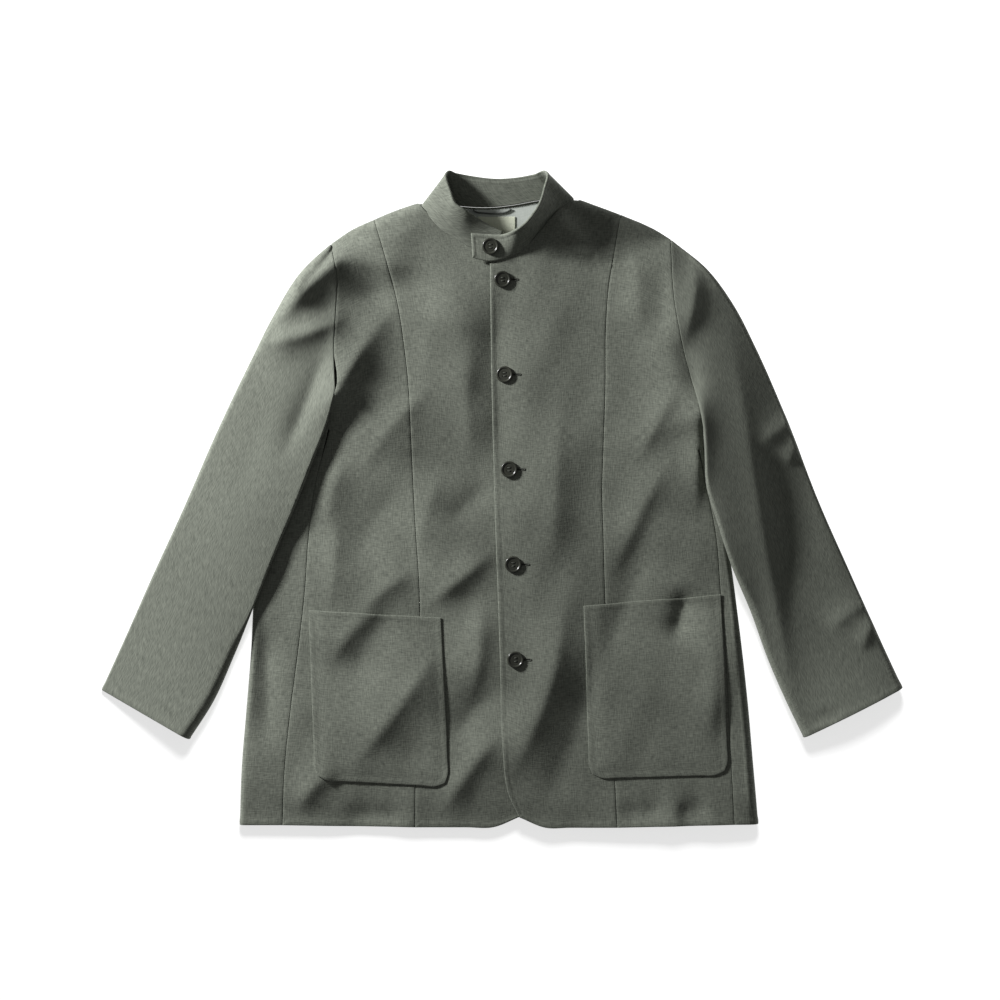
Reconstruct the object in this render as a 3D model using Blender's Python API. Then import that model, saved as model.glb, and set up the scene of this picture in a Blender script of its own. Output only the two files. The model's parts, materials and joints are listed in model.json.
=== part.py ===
"""Band-collar blazer laid out flat: closed cloth walls, patch pockets and turned buttons.

Tables and sizes are in millimetres and become metres in the meshes. X runs to the right of
someone looking down on the front, Y towards the collar and Z up from the surface under it.
Right and left are the wearer's, so the right side is at -X.
"""

import math
from collections import namedtuple

import bpy
import numpy as np
from mathutils import Matrix, Vector

MM = 0.001

# Cloth walls, in millimetres
CLOTH = 1.6
COLLAR_CLOTH = 2.4
THIN_CLOTH = 1.0
SEAM_GAP = 0.3
ARMHOLE_GAP = 2.0
HIDDEN_GAP = 1.0
INNER_SEAM_GAP = 2.4
ARMHOLE_CLEAR = (0.0, 0.0, 0.3, 1.5, 4.0)
NECK_GAP = 1.8
LAYER_GAP = 1.7

# How the layers lie, as heights of the middle of the wall
FLOOR_LAY = CLOTH / 2
FRONT_LAY = 13.0
SHOULDER_LAY = CLOTH + SEAM_GAP + CLOTH / 2
SHOULDER_ROLL = 14.0
HEM_FALL = 4.0
HEM_FALL_DEPTH = 36.0
LAP_RISE = 4.9
LAP_FADE = 26.0
UNDERLAP = 36.0
ARMHOLE_SPREAD = 42.0
SLEEVE_CLIMB = 15.4
PINCH_LENGTH = 0.18
PINCH_HEIGHT = 3.0
LEAST_SLANT = 0.4
CLIMB_WIDTH = 30.0
CLIMB_LEAD = 27.0
BACK_SHOULDER_END = 0.93
HEAD_FADE = 0.12
HEAD_BLEND = 0.14
CUFF_FADE = 0.1
UNDERARM_BEND = (-32.0, 46.0)
UNDERARM_CLIMB = (26.0, 62.0)
SHOULDER_TIP_CLEAR = 2.0
PINCH_START = 0.6
SLANT_STEP = 0.02

# Widths turned round an edge
SIDE_TURN = 38.0
SLEEVE_TURN = 24.0
UNDERSLEEVE_SHOW = 11.0
INNER_SEAM_INSET = 10.0

# Numbers of grid steps
BODY_ROWS = 30
BODY_SIDE_ROWS = 20
CENTRE_COLUMNS = 7
FLANK_COLUMNS = 6
SIDE_COLUMNS = 3
ROLL_STEPS = 5
TURN_STEPS = 2
SLEEVE_ROWS = 24
SLEEVE_COLUMNS = 7
BACK_ROWS = 12
BACK_COLUMNS = 12
COLLAR_STEPS = 56
COLLAR_ROWS = 3
POCKET_STEPS = 8
LOOP_STEPS = 13

# Shares of a panel's edge at which it turns a corner
SHOULDER_GATHER = 0.08
FRONT_TOP_CORNER = 0.34
BACK_SIDE_CORNER = 0.66
BACK_TOP_CORNERS = (0.5, 0.7)
BACK_ARMHOLE_BOW = (4.0, 6.0)

# Buttons
BUTTON_RADIUS = 10.0
BUTTON_HEIGHT = 3.6
BUTTON_STEPS = 20
# From the middle of the back round to the middle of the face, as shares of radius and height
BUTTON_PROFILE = (
    (0.0, 0.0), (0.86, 0.0), (1.0, 0.35), (0.96, 0.85), (0.84, 1.0), (0.70, 0.72), (0.62, 0.78), (0.0, 0.62),
)
HOLE_RADIUS = 0.95
HOLE_SPREAD = 2.0
HOLE_SIDES = 6
BUTTON_LIFT = 1.2
FIRST_BUTTON_Y = 262.5
BUTTON_PITCH = 114.0
BODY_BUTTONS = 5
BUTTON_INSET = 18.5
TAB_BUTTON = (0.05, 0.56)

# Inside the neck
LINING_LAY = CLOTH + SEAM_GAP + THIN_CLOTH / 2
LABEL_SIZE = (45.0, 21.5)
LABEL_CENTRE = (-5.4, 329.5)
LOOP_RADIUS = 1.3

# The body's outline and seams at one level, from the hem up
BodyRow = namedtuple("BodyRow", "y edge seam panel")
RIGHT_BODY = (
    BodyRow(-390.0, -313.5, -262.0, -103.0),
    BodyRow(-320.0, -311.0, -259.0, -102.0),
    BodyRow(-250.0, -305.5, -252.0, -98.5),
    BodyRow(-180.0, -300.0, -243.0, -97.0),
    BodyRow(-110.0, -296.5, -235.0, -97.5),
    BodyRow(-40.0, -291.0, -230.0, -102.0),
    BodyRow(25.0, -286.0, -221.0, -105.5),
    BodyRow(84.0, -280.0, -205.0, -108.0),
)
LEFT_BODY = (
    BodyRow(-388.5, 308.5, 279.0, 139.0),
    BodyRow(-320.0, 302.5, 275.5, 135.5),
    BodyRow(-250.0, 296.5, 271.5, 131.0),
    BodyRow(-180.0, 289.0, 268.0, 127.0),
    BodyRow(-110.0, 280.5, 263.0, 124.5),
    BodyRow(-40.0, 271.0, 257.0, 122.5),
    BodyRow(10.0, 264.5, 247.0, 121.0),
    BodyRow(60.0, 258.0, 235.0, 122.5),
)
# The rest of each panel seam, from the last row above up to the shoulder
RIGHT_PANEL_TOP = (
    (-110.0, 125.0), (-115.5, 180.0), (-124.0, 235.0), (-137.0, 285.0), (-151.0, 333.0),
)
LEFT_PANEL_TOP = ((125.0, 141.0), (125.5, 204.0), (129.0, 255.0), (136.0, 298.0), (143.0, 340.5))

# The edge of the upper front, and the top of the curve that rounds its lower corner
FRONT_EDGE = (
    (10.0, -355.0), (1.5, -290.0), (-1.0, -200.0), (-7.8, 0.0), (-11.5, 150.0), (-13.2, 282.5),
)
CORNER_POINT = (22.0, -380.0)
CORNER_REACH = 32.0
HEM_MIDDLE_Y = -392.5

RIGHT_SHOULDER = ((-99.6, 356.0), (-125.0, 347.5), (-154.0, 335.5), (-181.0, 323.0), (-204.0, 307.0))
LEFT_SHOULDER = ((94.8, 360.0), (129.0, 347.5), (158.0, 336.5), (187.0, 323.5), (204.0, 313.0))
RIGHT_ARMHOLE = ((-204.0, 307.0), (-196.0, 270.0), (-197.0, 225.0), (-199.0, 180.0), (-197.0, 130.5))
LEFT_ARMHOLE = ((204.0, 313.0), (204.0, 275.0), (207.0, 235.0), (219.0, 175.0), (240.0, 106.5))

# One ring of a sleeve: its outer and inner edge
ArmRow = namedtuple("ArmRow", "outer_x outer_y inner_x inner_y")
RIGHT_ARM = (
    ArmRow(-204.0, 307.0, -197.0, 130.5),
    ArmRow(-240.0, 271.5, -208.0, 90.0),
    ArmRow(-271.0, 223.5, -224.0, 47.0),
    ArmRow(-299.0, 169.5, -243.0, -2.0),
    ArmRow(-340.0, 84.0, -266.0, -56.0),
    ArmRow(-383.0, -14.0, -292.0, -120.0),
    ArmRow(-418.0, -90.0, -319.0, -185.0),
    ArmRow(-449.0, -160.0, -345.0, -243.0),
    ArmRow(-480.0, -228.5, -373.0, -287.0),
)
LEFT_ARM = (
    ArmRow(204.0, 313.0, 240.0, 106.5),
    ArmRow(248.0, 276.0, 243.5, 62.0),
    ArmRow(279.0, 234.0, 246.0, 14.0),
    ArmRow(305.0, 184.0, 258.0, -26.0),
    ArmRow(342.0, 100.0, 276.0, -80.0),
    ArmRow(383.0, -5.0, 300.0, -135.0),
    ArmRow(418.0, -84.0, 321.0, -193.0),
    ArmRow(450.0, -156.0, 343.0, -244.0),
    ArmRow(481.0, -225.0, 362.5, -285.0),
)

# Heights of a sleeve's upper layer along its length, by share from head to cuff
ArmHeight = namedtuple("ArmHeight", "share outer middle inner")
RIGHT_ARM_HEIGHTS = (
    ArmHeight(0.00, 7.0, 24.0, 27.0),
    ArmHeight(0.15, 15.0, 27.0, 30.0),
    ArmHeight(0.45, 14.0, 24.0, 29.0),
    ArmHeight(0.70, 12.0, 18.0, 21.0),
    ArmHeight(1.00, 8.0, 9.5, 8.5),
)
LEFT_ARM_HEIGHTS = (
    ArmHeight(0.00, 7.0, 22.0, 25.0),
    ArmHeight(0.15, 14.0, 25.0, 28.0),
    ArmHeight(0.45, 13.0, 23.0, 29.0),
    ArmHeight(0.70, 11.0, 19.0, 21.0),
    ArmHeight(1.00, 8.0, 9.5, 8.5),
)
# Height of the armhole seam, by share from the shoulder down
RIGHT_SEAM_HEIGHTS = ((0.0, 5.0), (0.15, 17.0), (0.4, 27.0), (0.75, 29.0), (1.0, 25.0))
LEFT_SEAM_HEIGHTS = ((0.0, 5.0), (0.15, 16.0), (0.4, 24.0), (0.75, 26.0), (1.0, 23.0))

# Corners of each patch pocket, from the front's middle to its side
PocketShape = namedtuple("PocketShape", "top_in top_out bottom_out bottom_in")
RIGHT_POCKET = PocketShape((-71.5, -141.0), (-230.0, -132.0), (-223.0, -335.5), (-62.0, -343.5))
LEFT_POCKET = PocketShape((98.5, -127.0), (263.5, -113.0), (272.0, -329.0), (106.0, -334.0))
POCKET_RADIUS = 16.0

# One crease, as a soft ridge or trough along a bent line. The left-hand side of its course
# falls away over near_width and the right-hand side over far_width.
Fold = namedtuple("Fold", "start middle end near_width far_width height")
FRONT_FOLDS = (
    Fold((-73.0, 150.0), (-133.0, 102.0), (-199.0, 24.0), 26.0, 40.0, 4.0),
    Fold((-22.0, 240.0), (-24.0, 96.0), (-18.0, 0.0), 18.0, 26.0, -3.5),
    Fold((-25.0, -70.0), (-61.0, -93.0), (-107.0, -126.0), 19.0, 34.0, 5.0),
    Fold((-115.0, -84.0), (-145.0, -102.0), (-175.0, -128.0), 19.0, 32.0, 3.5),
    Fold((-70.0, -168.0), (-121.0, -246.0), (-181.0, -327.0), 24.0, 30.0, 6.0),
    Fold((-14.0, -108.0), (-16.0, -168.0), (-14.0, -240.0), 18.0, 22.0, -3.5),
    Fold((48.0, -126.0), (31.0, -216.0), (-18.0, -363.0), 30.0, 26.0, 8.0),
    Fold((102.0, -168.0), (65.0, -246.0), (7.0, -378.0), 22.0, 22.0, -4.0),
    Fold((7.0, -282.0), (-37.0, -336.0), (-70.0, -386.0), 18.0, 26.0, 5.0),
    Fold((56.0, 282.0), (59.0, 204.0), (50.0, 60.0), 30.0, 26.0, 3.0),
    Fold((196.0, 270.0), (181.0, 240.0), (172.0, 170.0), 20.0, 20.0, -5.0),
    Fold((216.0, 100.0), (198.0, 70.0), (176.0, 35.0), 18.0, 18.0, -5.0),
    Fold((200.0, 45.0), (180.0, -5.0), (150.0, -70.0), 22.0, 24.0, 4.0),
    Fold((241.0, -135.0), (243.0, -204.0), (240.0, -282.0), 18.0, 18.0, 3.0),
    Fold((-203.0, -345.0), (-235.0, -357.0), (-252.0, -386.0), 18.0, 20.0, 4.0),
)
RIGHT_ARM_FOLDS = (
    Fold((-212.0, 292.0), (-243.0, 250.0), (-270.0, 212.0), 18.0, 22.0, 5.0),
    Fold((-200.0, 262.0), (-213.0, 228.0), (-250.0, 203.0), 18.0, 18.0, -8.0),
    Fold((-271.0, 144.0), (-299.0, 54.0), (-318.0, -24.0), 20.0, 24.0, -2.5),
)
LEFT_ARM_FOLDS = (
    Fold((227.0, 285.0), (240.0, 240.0), (232.0, 186.0), 18.0, 18.0, -8.0),
    Fold((262.0, 200.0), (288.0, 90.0), (330.0, -170.0), 26.0, 24.0, 4.0),
    Fold((313.0, 120.0), (336.0, 0.0), (350.0, -200.0), 20.0, 22.0, -4.0),
)
FOLD_STEPS = 14
FOLD_TAPER = 0.22

# One station of the collar band: its sewn edge and its free edge, from the tab round the neck
CollarRow = namedtuple("CollarRow", "base_x base_y base_z top_x top_y top_z")
COLLAR = (
    CollarRow(-34.0, 289.0, 21.0, -36.0, 318.5, 22.0),
    CollarRow(-13.0, 284.5, 20.5, -14.0, 317.0, 22.5),
    CollarRow(5.0, 288.0, 19.0, 2.0, 316.5, 27.0),
    CollarRow(22.0, 296.0, 17.5, 17.0, 321.0, 35.0),
    CollarRow(36.0, 306.0, 16.0, 28.0, 328.0, 39.0),
    CollarRow(49.0, 320.0, 15.5, 37.0, 338.0, 41.0),
    CollarRow(61.0, 334.5, 15.0, 45.0, 351.0, 40.0),
    CollarRow(75.0, 350.0, 13.5, 50.5, 369.0, 36.0),
    CollarRow(87.0, 359.5, 11.0, 54.0, 387.0, 31.5),
    CollarRow(84.0, 362.0, 6.5, 51.5, 391.5, 28.0),
    CollarRow(66.0, 361.5, 4.5, 39.0, 389.0, 26.0),
    CollarRow(45.0, 359.5, 4.2, 21.0, 386.5, 25.0),
    CollarRow(17.0, 354.5, 4.2, -2.0, 385.0, 24.5),
    CollarRow(-9.0, 351.5, 4.2, -19.0, 386.0, 24.5),
    CollarRow(-33.0, 351.5, 4.2, -37.0, 388.5, 25.5),
    CollarRow(-60.0, 354.0, 4.5, -53.0, 391.0, 27.0),
    CollarRow(-86.0, 356.0, 6.5, -63.0, 392.0, 28.5),
    CollarRow(-92.0, 352.0, 11.0, -65.0, 387.0, 32.0),
    CollarRow(-86.0, 339.0, 14.0, -60.0, 370.0, 35.0),
    CollarRow(-72.0, 324.0, 15.0, -54.0, 354.0, 35.0),
    CollarRow(-55.0, 313.0, 15.0, -42.0, 345.5, 30.0),
    CollarRow(-37.0, 302.0, 14.5, -28.0, 337.0, 21.5),
    CollarRow(-19.0, 295.0, 13.8, -13.0, 328.0, 16.5),
    CollarRow(-3.0, 291.0, 13.4, 2.0, 321.0, 14.8),
)
LEFT_NECK_ROWS = slice(1, 9)
RIGHT_NECK_ROWS = slice(17, 24)
BACK_NECK_ROWS = slice(9, 17)

LOOP_PATH = (
    (-34.0, 349.0), (-31.0, 346.5), (-20.0, 344.5), (-6.0, 343.8), (6.0, 345.5), (13.0, 349.5),
)
LINING_TOP_DROP = 2.6
LINING_BOTTOM = ((-78.0, 262.0), (-30.0, 240.0), (30.0, 240.0), (74.0, 262.0))

# Colours, as linear red, green and blue
CLOTH_COLOUR = (0.136, 0.147, 0.122)
LINING_COLOUR = (0.44, 0.47, 0.44)
LABEL_COLOUR = (0.62, 0.65, 0.52)
BUTTON_COLOUR = (0.025, 0.027, 0.021)

Side = namedtuple(
    "Side", "name sign body panel_top shoulder armhole arm arm_heights seam_heights arm_folds pocket"
)
RIGHT = Side(
    "right", -1.0, RIGHT_BODY, RIGHT_PANEL_TOP, RIGHT_SHOULDER, RIGHT_ARMHOLE, RIGHT_ARM,
    RIGHT_ARM_HEIGHTS, RIGHT_SEAM_HEIGHTS, RIGHT_ARM_FOLDS, RIGHT_POCKET,
)
LEFT = Side(
    "left", 1.0, LEFT_BODY, LEFT_PANEL_TOP, LEFT_SHOULDER, LEFT_ARMHOLE, LEFT_ARM,
    LEFT_ARM_HEIGHTS, LEFT_SEAM_HEIGHTS, LEFT_ARM_FOLDS, LEFT_POCKET,
)
SIDES = (RIGHT, LEFT)


class Curve:
    """Smooth curve through a few points, read by its share of length from 0 to 1."""

    def __init__(self, points):
        self.points = np.asarray(points, float)
        steps = np.linalg.norm(np.diff(self.points, axis=0), axis=1)
        self.knots = np.concatenate([[0.0], np.cumsum(steps)]) / steps.sum()
        self.slopes = np.gradient(self.points, self.knots, axis=0)

    def __call__(self, share):
        share = np.clip(np.asarray(share, float), 0.0, 1.0)
        i = np.clip(np.searchsorted(self.knots, share, side="right") - 1, 0, len(self.knots) - 2)
        span = (self.knots[i + 1] - self.knots[i])[..., None]
        t = (share - self.knots[i])[..., None] / span
        start = (1 + 2 * t) * (1 - t) ** 2 * self.points[i] + t * (1 - t) ** 2 * span * self.slopes[i]
        end = t * t * (3 - 2 * t) * self.points[i + 1] + t * t * (t - 1) * span * self.slopes[i + 1]
        return start + end


class Chain:
    """Two curves end to end with a corner between them, the first one ending at the share given."""

    def __init__(self, first, second, corner):
        self.first, self.second, self.corner = first, second, corner

    def __call__(self, share):
        share = np.asarray(share, float)
        early = self.first(share / self.corner)
        late = self.second((share - self.corner) / (1.0 - self.corner))
        return np.where((share < self.corner)[..., None], early, late)


def smoothstep(low, high, value):
    """0 below low, 1 above high and a soft change between."""
    t = np.clip((value - low) / (high - low), 0.0, 1.0)
    return t * t * (3.0 - 2.0 * t)


def reversed_curve(curve):
    """The same curve read from its other end."""
    return lambda share: curve(1.0 - np.asarray(share, float))


def patch(u, v, left, right, bottom, top):
    """Plan points of a four-sided panel: its edges blended across and along, less the corners."""
    blend_u, blend_v = u[..., None], v[..., None]
    across = (1 - blend_u) * left(v) + blend_u * right(v)
    along = (1 - blend_v) * bottom(u) + blend_v * top(u)
    zero, one = np.zeros(1), np.ones(1)
    low = (1 - blend_u) * bottom(zero) + blend_u * bottom(one)
    high = (1 - blend_u) * top(zero) + blend_u * top(one)
    return across + along - (1 - blend_v) * low - blend_v * high


def nearest_on_line(points, line):
    """Distance from each point to a bent line, the share of the line there and the side it is on."""
    starts, steps = line[:-1], np.diff(line, axis=0)
    offsets = points[..., None, :] - starts
    shares = np.clip((offsets * steps).sum(-1) / (steps * steps).sum(-1), 0.0, 1.0)
    gaps = offsets - shares[..., None] * steps
    distances = np.linalg.norm(gaps, axis=-1)
    best = distances.argmin(axis=-1)[..., None]
    distance = np.take_along_axis(distances, best, -1)[..., 0]
    share = (best[..., 0] + np.take_along_axis(shares, best, -1)[..., 0]) / len(steps)
    turn = steps[:, 0] * offsets[..., 1] - steps[:, 1] * offsets[..., 0]
    return distance, share, np.take_along_axis(turn, best, -1)[..., 0]


def fold_height(points, folds):
    """Sum of the creases at some plan points: a bell across each one, faded at its two ends."""
    total = np.zeros(points.shape[:-1])
    for fold in folds:
        line = Curve((fold.start, fold.middle, fold.end))(np.linspace(0.0, 1.0, FOLD_STEPS))
        distance, share, turn = nearest_on_line(points, line)
        width = np.where(turn > 0, fold.near_width, fold.far_width)
        ends = smoothstep(0.0, FOLD_TAPER, share) * smoothstep(0.0, FOLD_TAPER, 1.0 - share)
        total += fold.height * ends * np.exp(-((distance / width) ** 2))
    return total


def body_curve(side, column):
    """One column of a side's body table, as a curve from the hem up."""
    return Curve([(getattr(row, column), row.y) for row in side.body])


def side_seam(side):
    """The side seam from the hem up to the underarm."""
    return body_curve(side, "seam")


def panel_seam(side):
    """The long seam down a front, from the hem up to the shoulder."""
    rows = [(row.panel, row.y) for row in side.body]
    rows[0] = (rows[0][0], hem_y(rows[0][0]))
    return Curve(rows + list(side.panel_top))


def hem_y(x):
    """The hem rises a little from the middle to both side edges."""
    return float(np.interp(x, (RIGHT_BODY[0].edge, -110.0, 130.0, LEFT_BODY[0].edge),
                           (RIGHT_BODY[0].y, HEM_MIDDLE_Y, HEM_MIDDLE_Y, LEFT_BODY[0].y)))


def hem_curve(start, end):
    """The hem between two x positions."""
    return Curve([(x, hem_y(x)) for x in np.linspace(start, end, 4)])


def front_edge(shift):
    """A front's free edge moved sideways, from the middle of its rounded corner up."""
    upper = [(x + shift, y) for x, y in FRONT_EDGE]
    return Curve([CORNER_POINT] + upper)


def edge_x(y):
    """X of the upper front's edge at a level."""
    xs, ys = zip(*FRONT_EDGE)
    return np.interp(y, ys, xs)


def offset_neck(rows, sign):
    """The neck seam of one front, from the shoulder to its free edge, just clear of the collar."""
    points = np.array([(row.base_x, row.base_y) for row in COLLAR[rows]])
    if sign > 0:
        points = points[::-1]
    along = np.gradient(points, axis=0)
    outward = sign * np.stack([-along[:, 1], along[:, 0]], -1)
    return points + NECK_GAP * outward / np.linalg.norm(outward, axis=1, keepdims=True)


def seam_height(side, share):
    """Height of the armhole seam at a share of its length from the shoulder."""
    shares, heights = zip(*side.seam_heights)
    return np.interp(share, shares, heights)


def front_height(points):
    """Height of the fronts: their lay, the creases, the fall to the hem and the rise to each armhole."""
    height = FRONT_LAY + fold_height(points, FRONT_FOLDS)
    height -= HEM_FALL * (1.0 - smoothstep(0.0, HEM_FALL_DEPTH, points[..., 1] - HEM_MIDDLE_Y))
    for side in SIDES:
        shoulder = Curve(side.shoulder)(np.linspace(0.0, 1.0, FOLD_STEPS))
        distance, _, _ = nearest_on_line(points, shoulder)
        inside = np.clip(distance / SHOULDER_ROLL, 0.0, 1.0)
        height = SHOULDER_LAY + (height - SHOULDER_LAY) * np.sqrt(1.0 - (1.0 - inside) ** 2)
        armhole = Curve(side.armhole)(np.linspace(0.0, 1.0, 2 * FOLD_STEPS))
        distance, share, _ = nearest_on_line(points, armhole)
        onward = towards(np.zeros(2), armhole[-1] - armhole[-2], 1.0)
        past = np.maximum((points - armhole[-1]) @ onward, 0.0)
        pull = np.exp(-((distance / ARMHOLE_SPREAD) ** 2) - (past / (ARMHOLE_SPREAD / 2)) ** 2)
        pull *= points[..., 0] * side.sign > 0
        height += (seam_height(side, share) - height) * pull
    return height


def lap_rise(points):
    """How far the upper front is lifted by the lower one under it."""
    covered = edge_x(points[..., 1]) + UNDERLAP
    return LAP_RISE * (1.0 - smoothstep(covered, covered + LAP_FADE, points[..., 0]))


def raised(points, height):
    """Plan points and heights as one array of places."""
    return np.concatenate([points, height[..., None]], axis=-1)


def body_shares(rows):
    """Even shares along a seam, closer together at the shoulder where the cloth rolls over."""
    even = np.linspace(0.0, 1.0, rows + 1)
    return even + SHOULDER_GATHER * np.sin(2 * math.pi * even) * even


def outer_side(side):
    """The side seam and then the armhole, as one edge of the flank panel."""
    corner = float(body_shares(BODY_ROWS)[BODY_SIDE_ROWS])
    return Chain(side_seam(side), reversed_curve(Curve(armhole_front(side))), corner)


def armhole_front(side):
    """The front's armhole: the sleeve's seam and then down to the top of the side seam."""
    top = side.body[-1]
    clear = np.array(ARMHOLE_CLEAR)[:, None] * np.array((side.sign, 0.0))
    return [tuple(point) for point in np.array(side.armhole) - clear] + [(top.seam, top.y)]


def front_centre(side):
    """Middle of a front: from its panel seam to its free edge, under the neck seam."""
    upper = side is LEFT
    shift = 0.0 if upper else UNDERLAP
    neck_rows = LEFT_NECK_ROWS if upper else RIGHT_NECK_ROWS
    edge = front_edge(shift)
    neck = [tuple(side.shoulder[0])] + [tuple(p) for p in offset_neck(neck_rows, side.sign)[1:]]
    neck[-1] = tuple(edge(1.0)) if upper else neck[-1]
    if not upper:
        neck.append(tuple(edge(1.0)))
    seam = panel_seam(side)
    shoulder = Curve([tuple(seam(1.0)), side.shoulder[1], side.shoulder[0]])
    top = Chain(shoulder, Curve(neck), FRONT_TOP_CORNER)
    hem_start = side.body[0].panel
    hem_end = CORNER_POINT[0] + side.sign * CORNER_REACH
    hem = [(x, hem_y(x)) for x in np.linspace(hem_start, hem_end, 4)]
    bottom = Curve(hem + [CORNER_POINT])
    columns = np.linspace(0.0, 1.0, CENTRE_COLUMNS + 1)
    u, v = np.meshgrid(columns, body_shares(BODY_ROWS), indexing="ij")
    width = abs(side.body[0].panel)
    u = u * (1.0 - SEAM_GAP / 2 / width) + SEAM_GAP / 2 / width
    plan = patch(u, v, seam, edge, bottom, top)
    height = front_height(plan)
    if upper:
        height = height + lap_rise(plan)
    return raised(plan, height)


def front_flank(side):
    """Side part of a front: from its panel seam to the side seam and the armhole."""
    seam = panel_seam(side)
    top = Curve([tuple(seam(1.0)), side.shoulder[3], side.shoulder[4]])
    bottom = hem_curve(side.body[0].panel, side.body[0].seam)
    columns = np.linspace(0.0, 1.0, FLANK_COLUMNS + 1)
    u, v = np.meshgrid(columns, body_shares(BODY_ROWS), indexing="ij")
    width = abs(side.body[0].seam - side.body[0].panel)
    near, far = SEAM_GAP / 2 / width, ARMHOLE_GAP / 2 / width
    u = near + u * (1.0 - near - far)
    plan = patch(u, v, seam, outer_side(side), bottom, top)
    return raised(plan, front_height(plan))


def rolled(edge, outward, start_height, end_height):
    """Half-turn of cloth round a fold: a half circle from one height to the other, past its edge."""
    middle, radius = (start_height + end_height) / 2, (start_height - end_height) / 2
    turn = np.linspace(0.0, math.pi, ROLL_STEPS + 1)[1:-1, None]
    plan = edge + np.sin(turn)[..., None] * np.abs(radius)[..., None] * outward
    return raised(plan, middle + radius * np.cos(turn))


def side_panel(side):
    """Side of the body: from the side seam over the edge and under to meet the back."""
    shares = np.linspace(0.0, 1.0, BODY_SIDE_ROWS + 1)
    seam, edge = side_seam(side)(shares), body_curve(side, "edge")(shares)
    outward = np.array((side.sign, 0.0))
    seam = seam + outward * (ARMHOLE_GAP / 2)
    top_height = front_height(edge - outward * CLOTH * 3)
    radius = (top_height - FLOOR_LAY) / 2
    fold = edge - outward * (radius + CLOTH / 2)[:, None]
    steps = np.linspace(0.0, 1.0, SIDE_COLUMNS + 1)[:, None, None]
    over = seam + steps * (fold - seam)
    over = raised(over, front_height(over))
    over[-1, :, 2] = top_height
    under = fold - outward * SIDE_TURN * np.linspace(0.0, 1.0, TURN_STEPS + 1)[:, None, None]
    under = raised(under, np.full(under.shape[:-1], FLOOR_LAY))
    return np.concatenate([over, rolled(fold, outward, top_height, under[0, :, 2]), under])


def back_side(side):
    """Edge of the back: the side panel's inner edge and then the armhole, from the hem up."""
    shares = np.linspace(0.0, 1.0, 8)
    edge = body_curve(side, "edge")(shares)
    radius = (front_height(edge - np.array((side.sign * CLOTH * 3, 0.0))) - FLOOR_LAY) / 2
    inset = radius + CLOTH / 2 + SIDE_TURN + HIDDEN_GAP
    seam = Curve(edge - np.array((side.sign, 0.0)) * inset[:, None])
    end, shoulder = seam(1.0), Curve(side.shoulder)(BACK_SHOULDER_END)
    bend = 0.5 * (end + shoulder) - np.array((side.sign, 1.0)) * np.array(BACK_ARMHOLE_BOW)
    return Chain(seam, Curve([tuple(end), tuple(bend), tuple(shoulder)]), BACK_SIDE_CORNER)


def back_shoulder(side):
    """The back's shoulder, from the neck to a little before the front's shoulder ends."""
    whole = Curve(side.shoulder)
    return Curve(whole(np.linspace(0.0, BACK_SHOULDER_END, 6)))


def back_panel():
    """The back lies flat, from the hem to the shoulders and the back of the neck."""
    right, left = back_side(RIGHT), back_side(LEFT)
    neck = [(row.base_x, row.base_y) for row in COLLAR[BACK_NECK_ROWS]][::-1]
    neck[0], neck[-1] = RIGHT.shoulder[0], LEFT.shoulder[0]
    shoulders = [back_shoulder(side) for side in SIDES]
    first = Chain(reversed_curve(shoulders[0]), Curve(neck), BACK_TOP_CORNERS[0])
    top = Chain(first, shoulders[1], BACK_TOP_CORNERS[1])
    bottom = hem_curve(right(np.zeros(1))[0, 0], left(np.zeros(1))[0, 0])
    u, v = np.meshgrid(
        np.linspace(0.0, 1.0, BACK_COLUMNS + 1), np.linspace(0.0, 1.0, BACK_ROWS + 1), indexing="ij"
    )
    plan = patch(u, v, right, left, bottom, top)
    return raised(plan, np.full(plan.shape[:-1], FLOOR_LAY))


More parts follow.
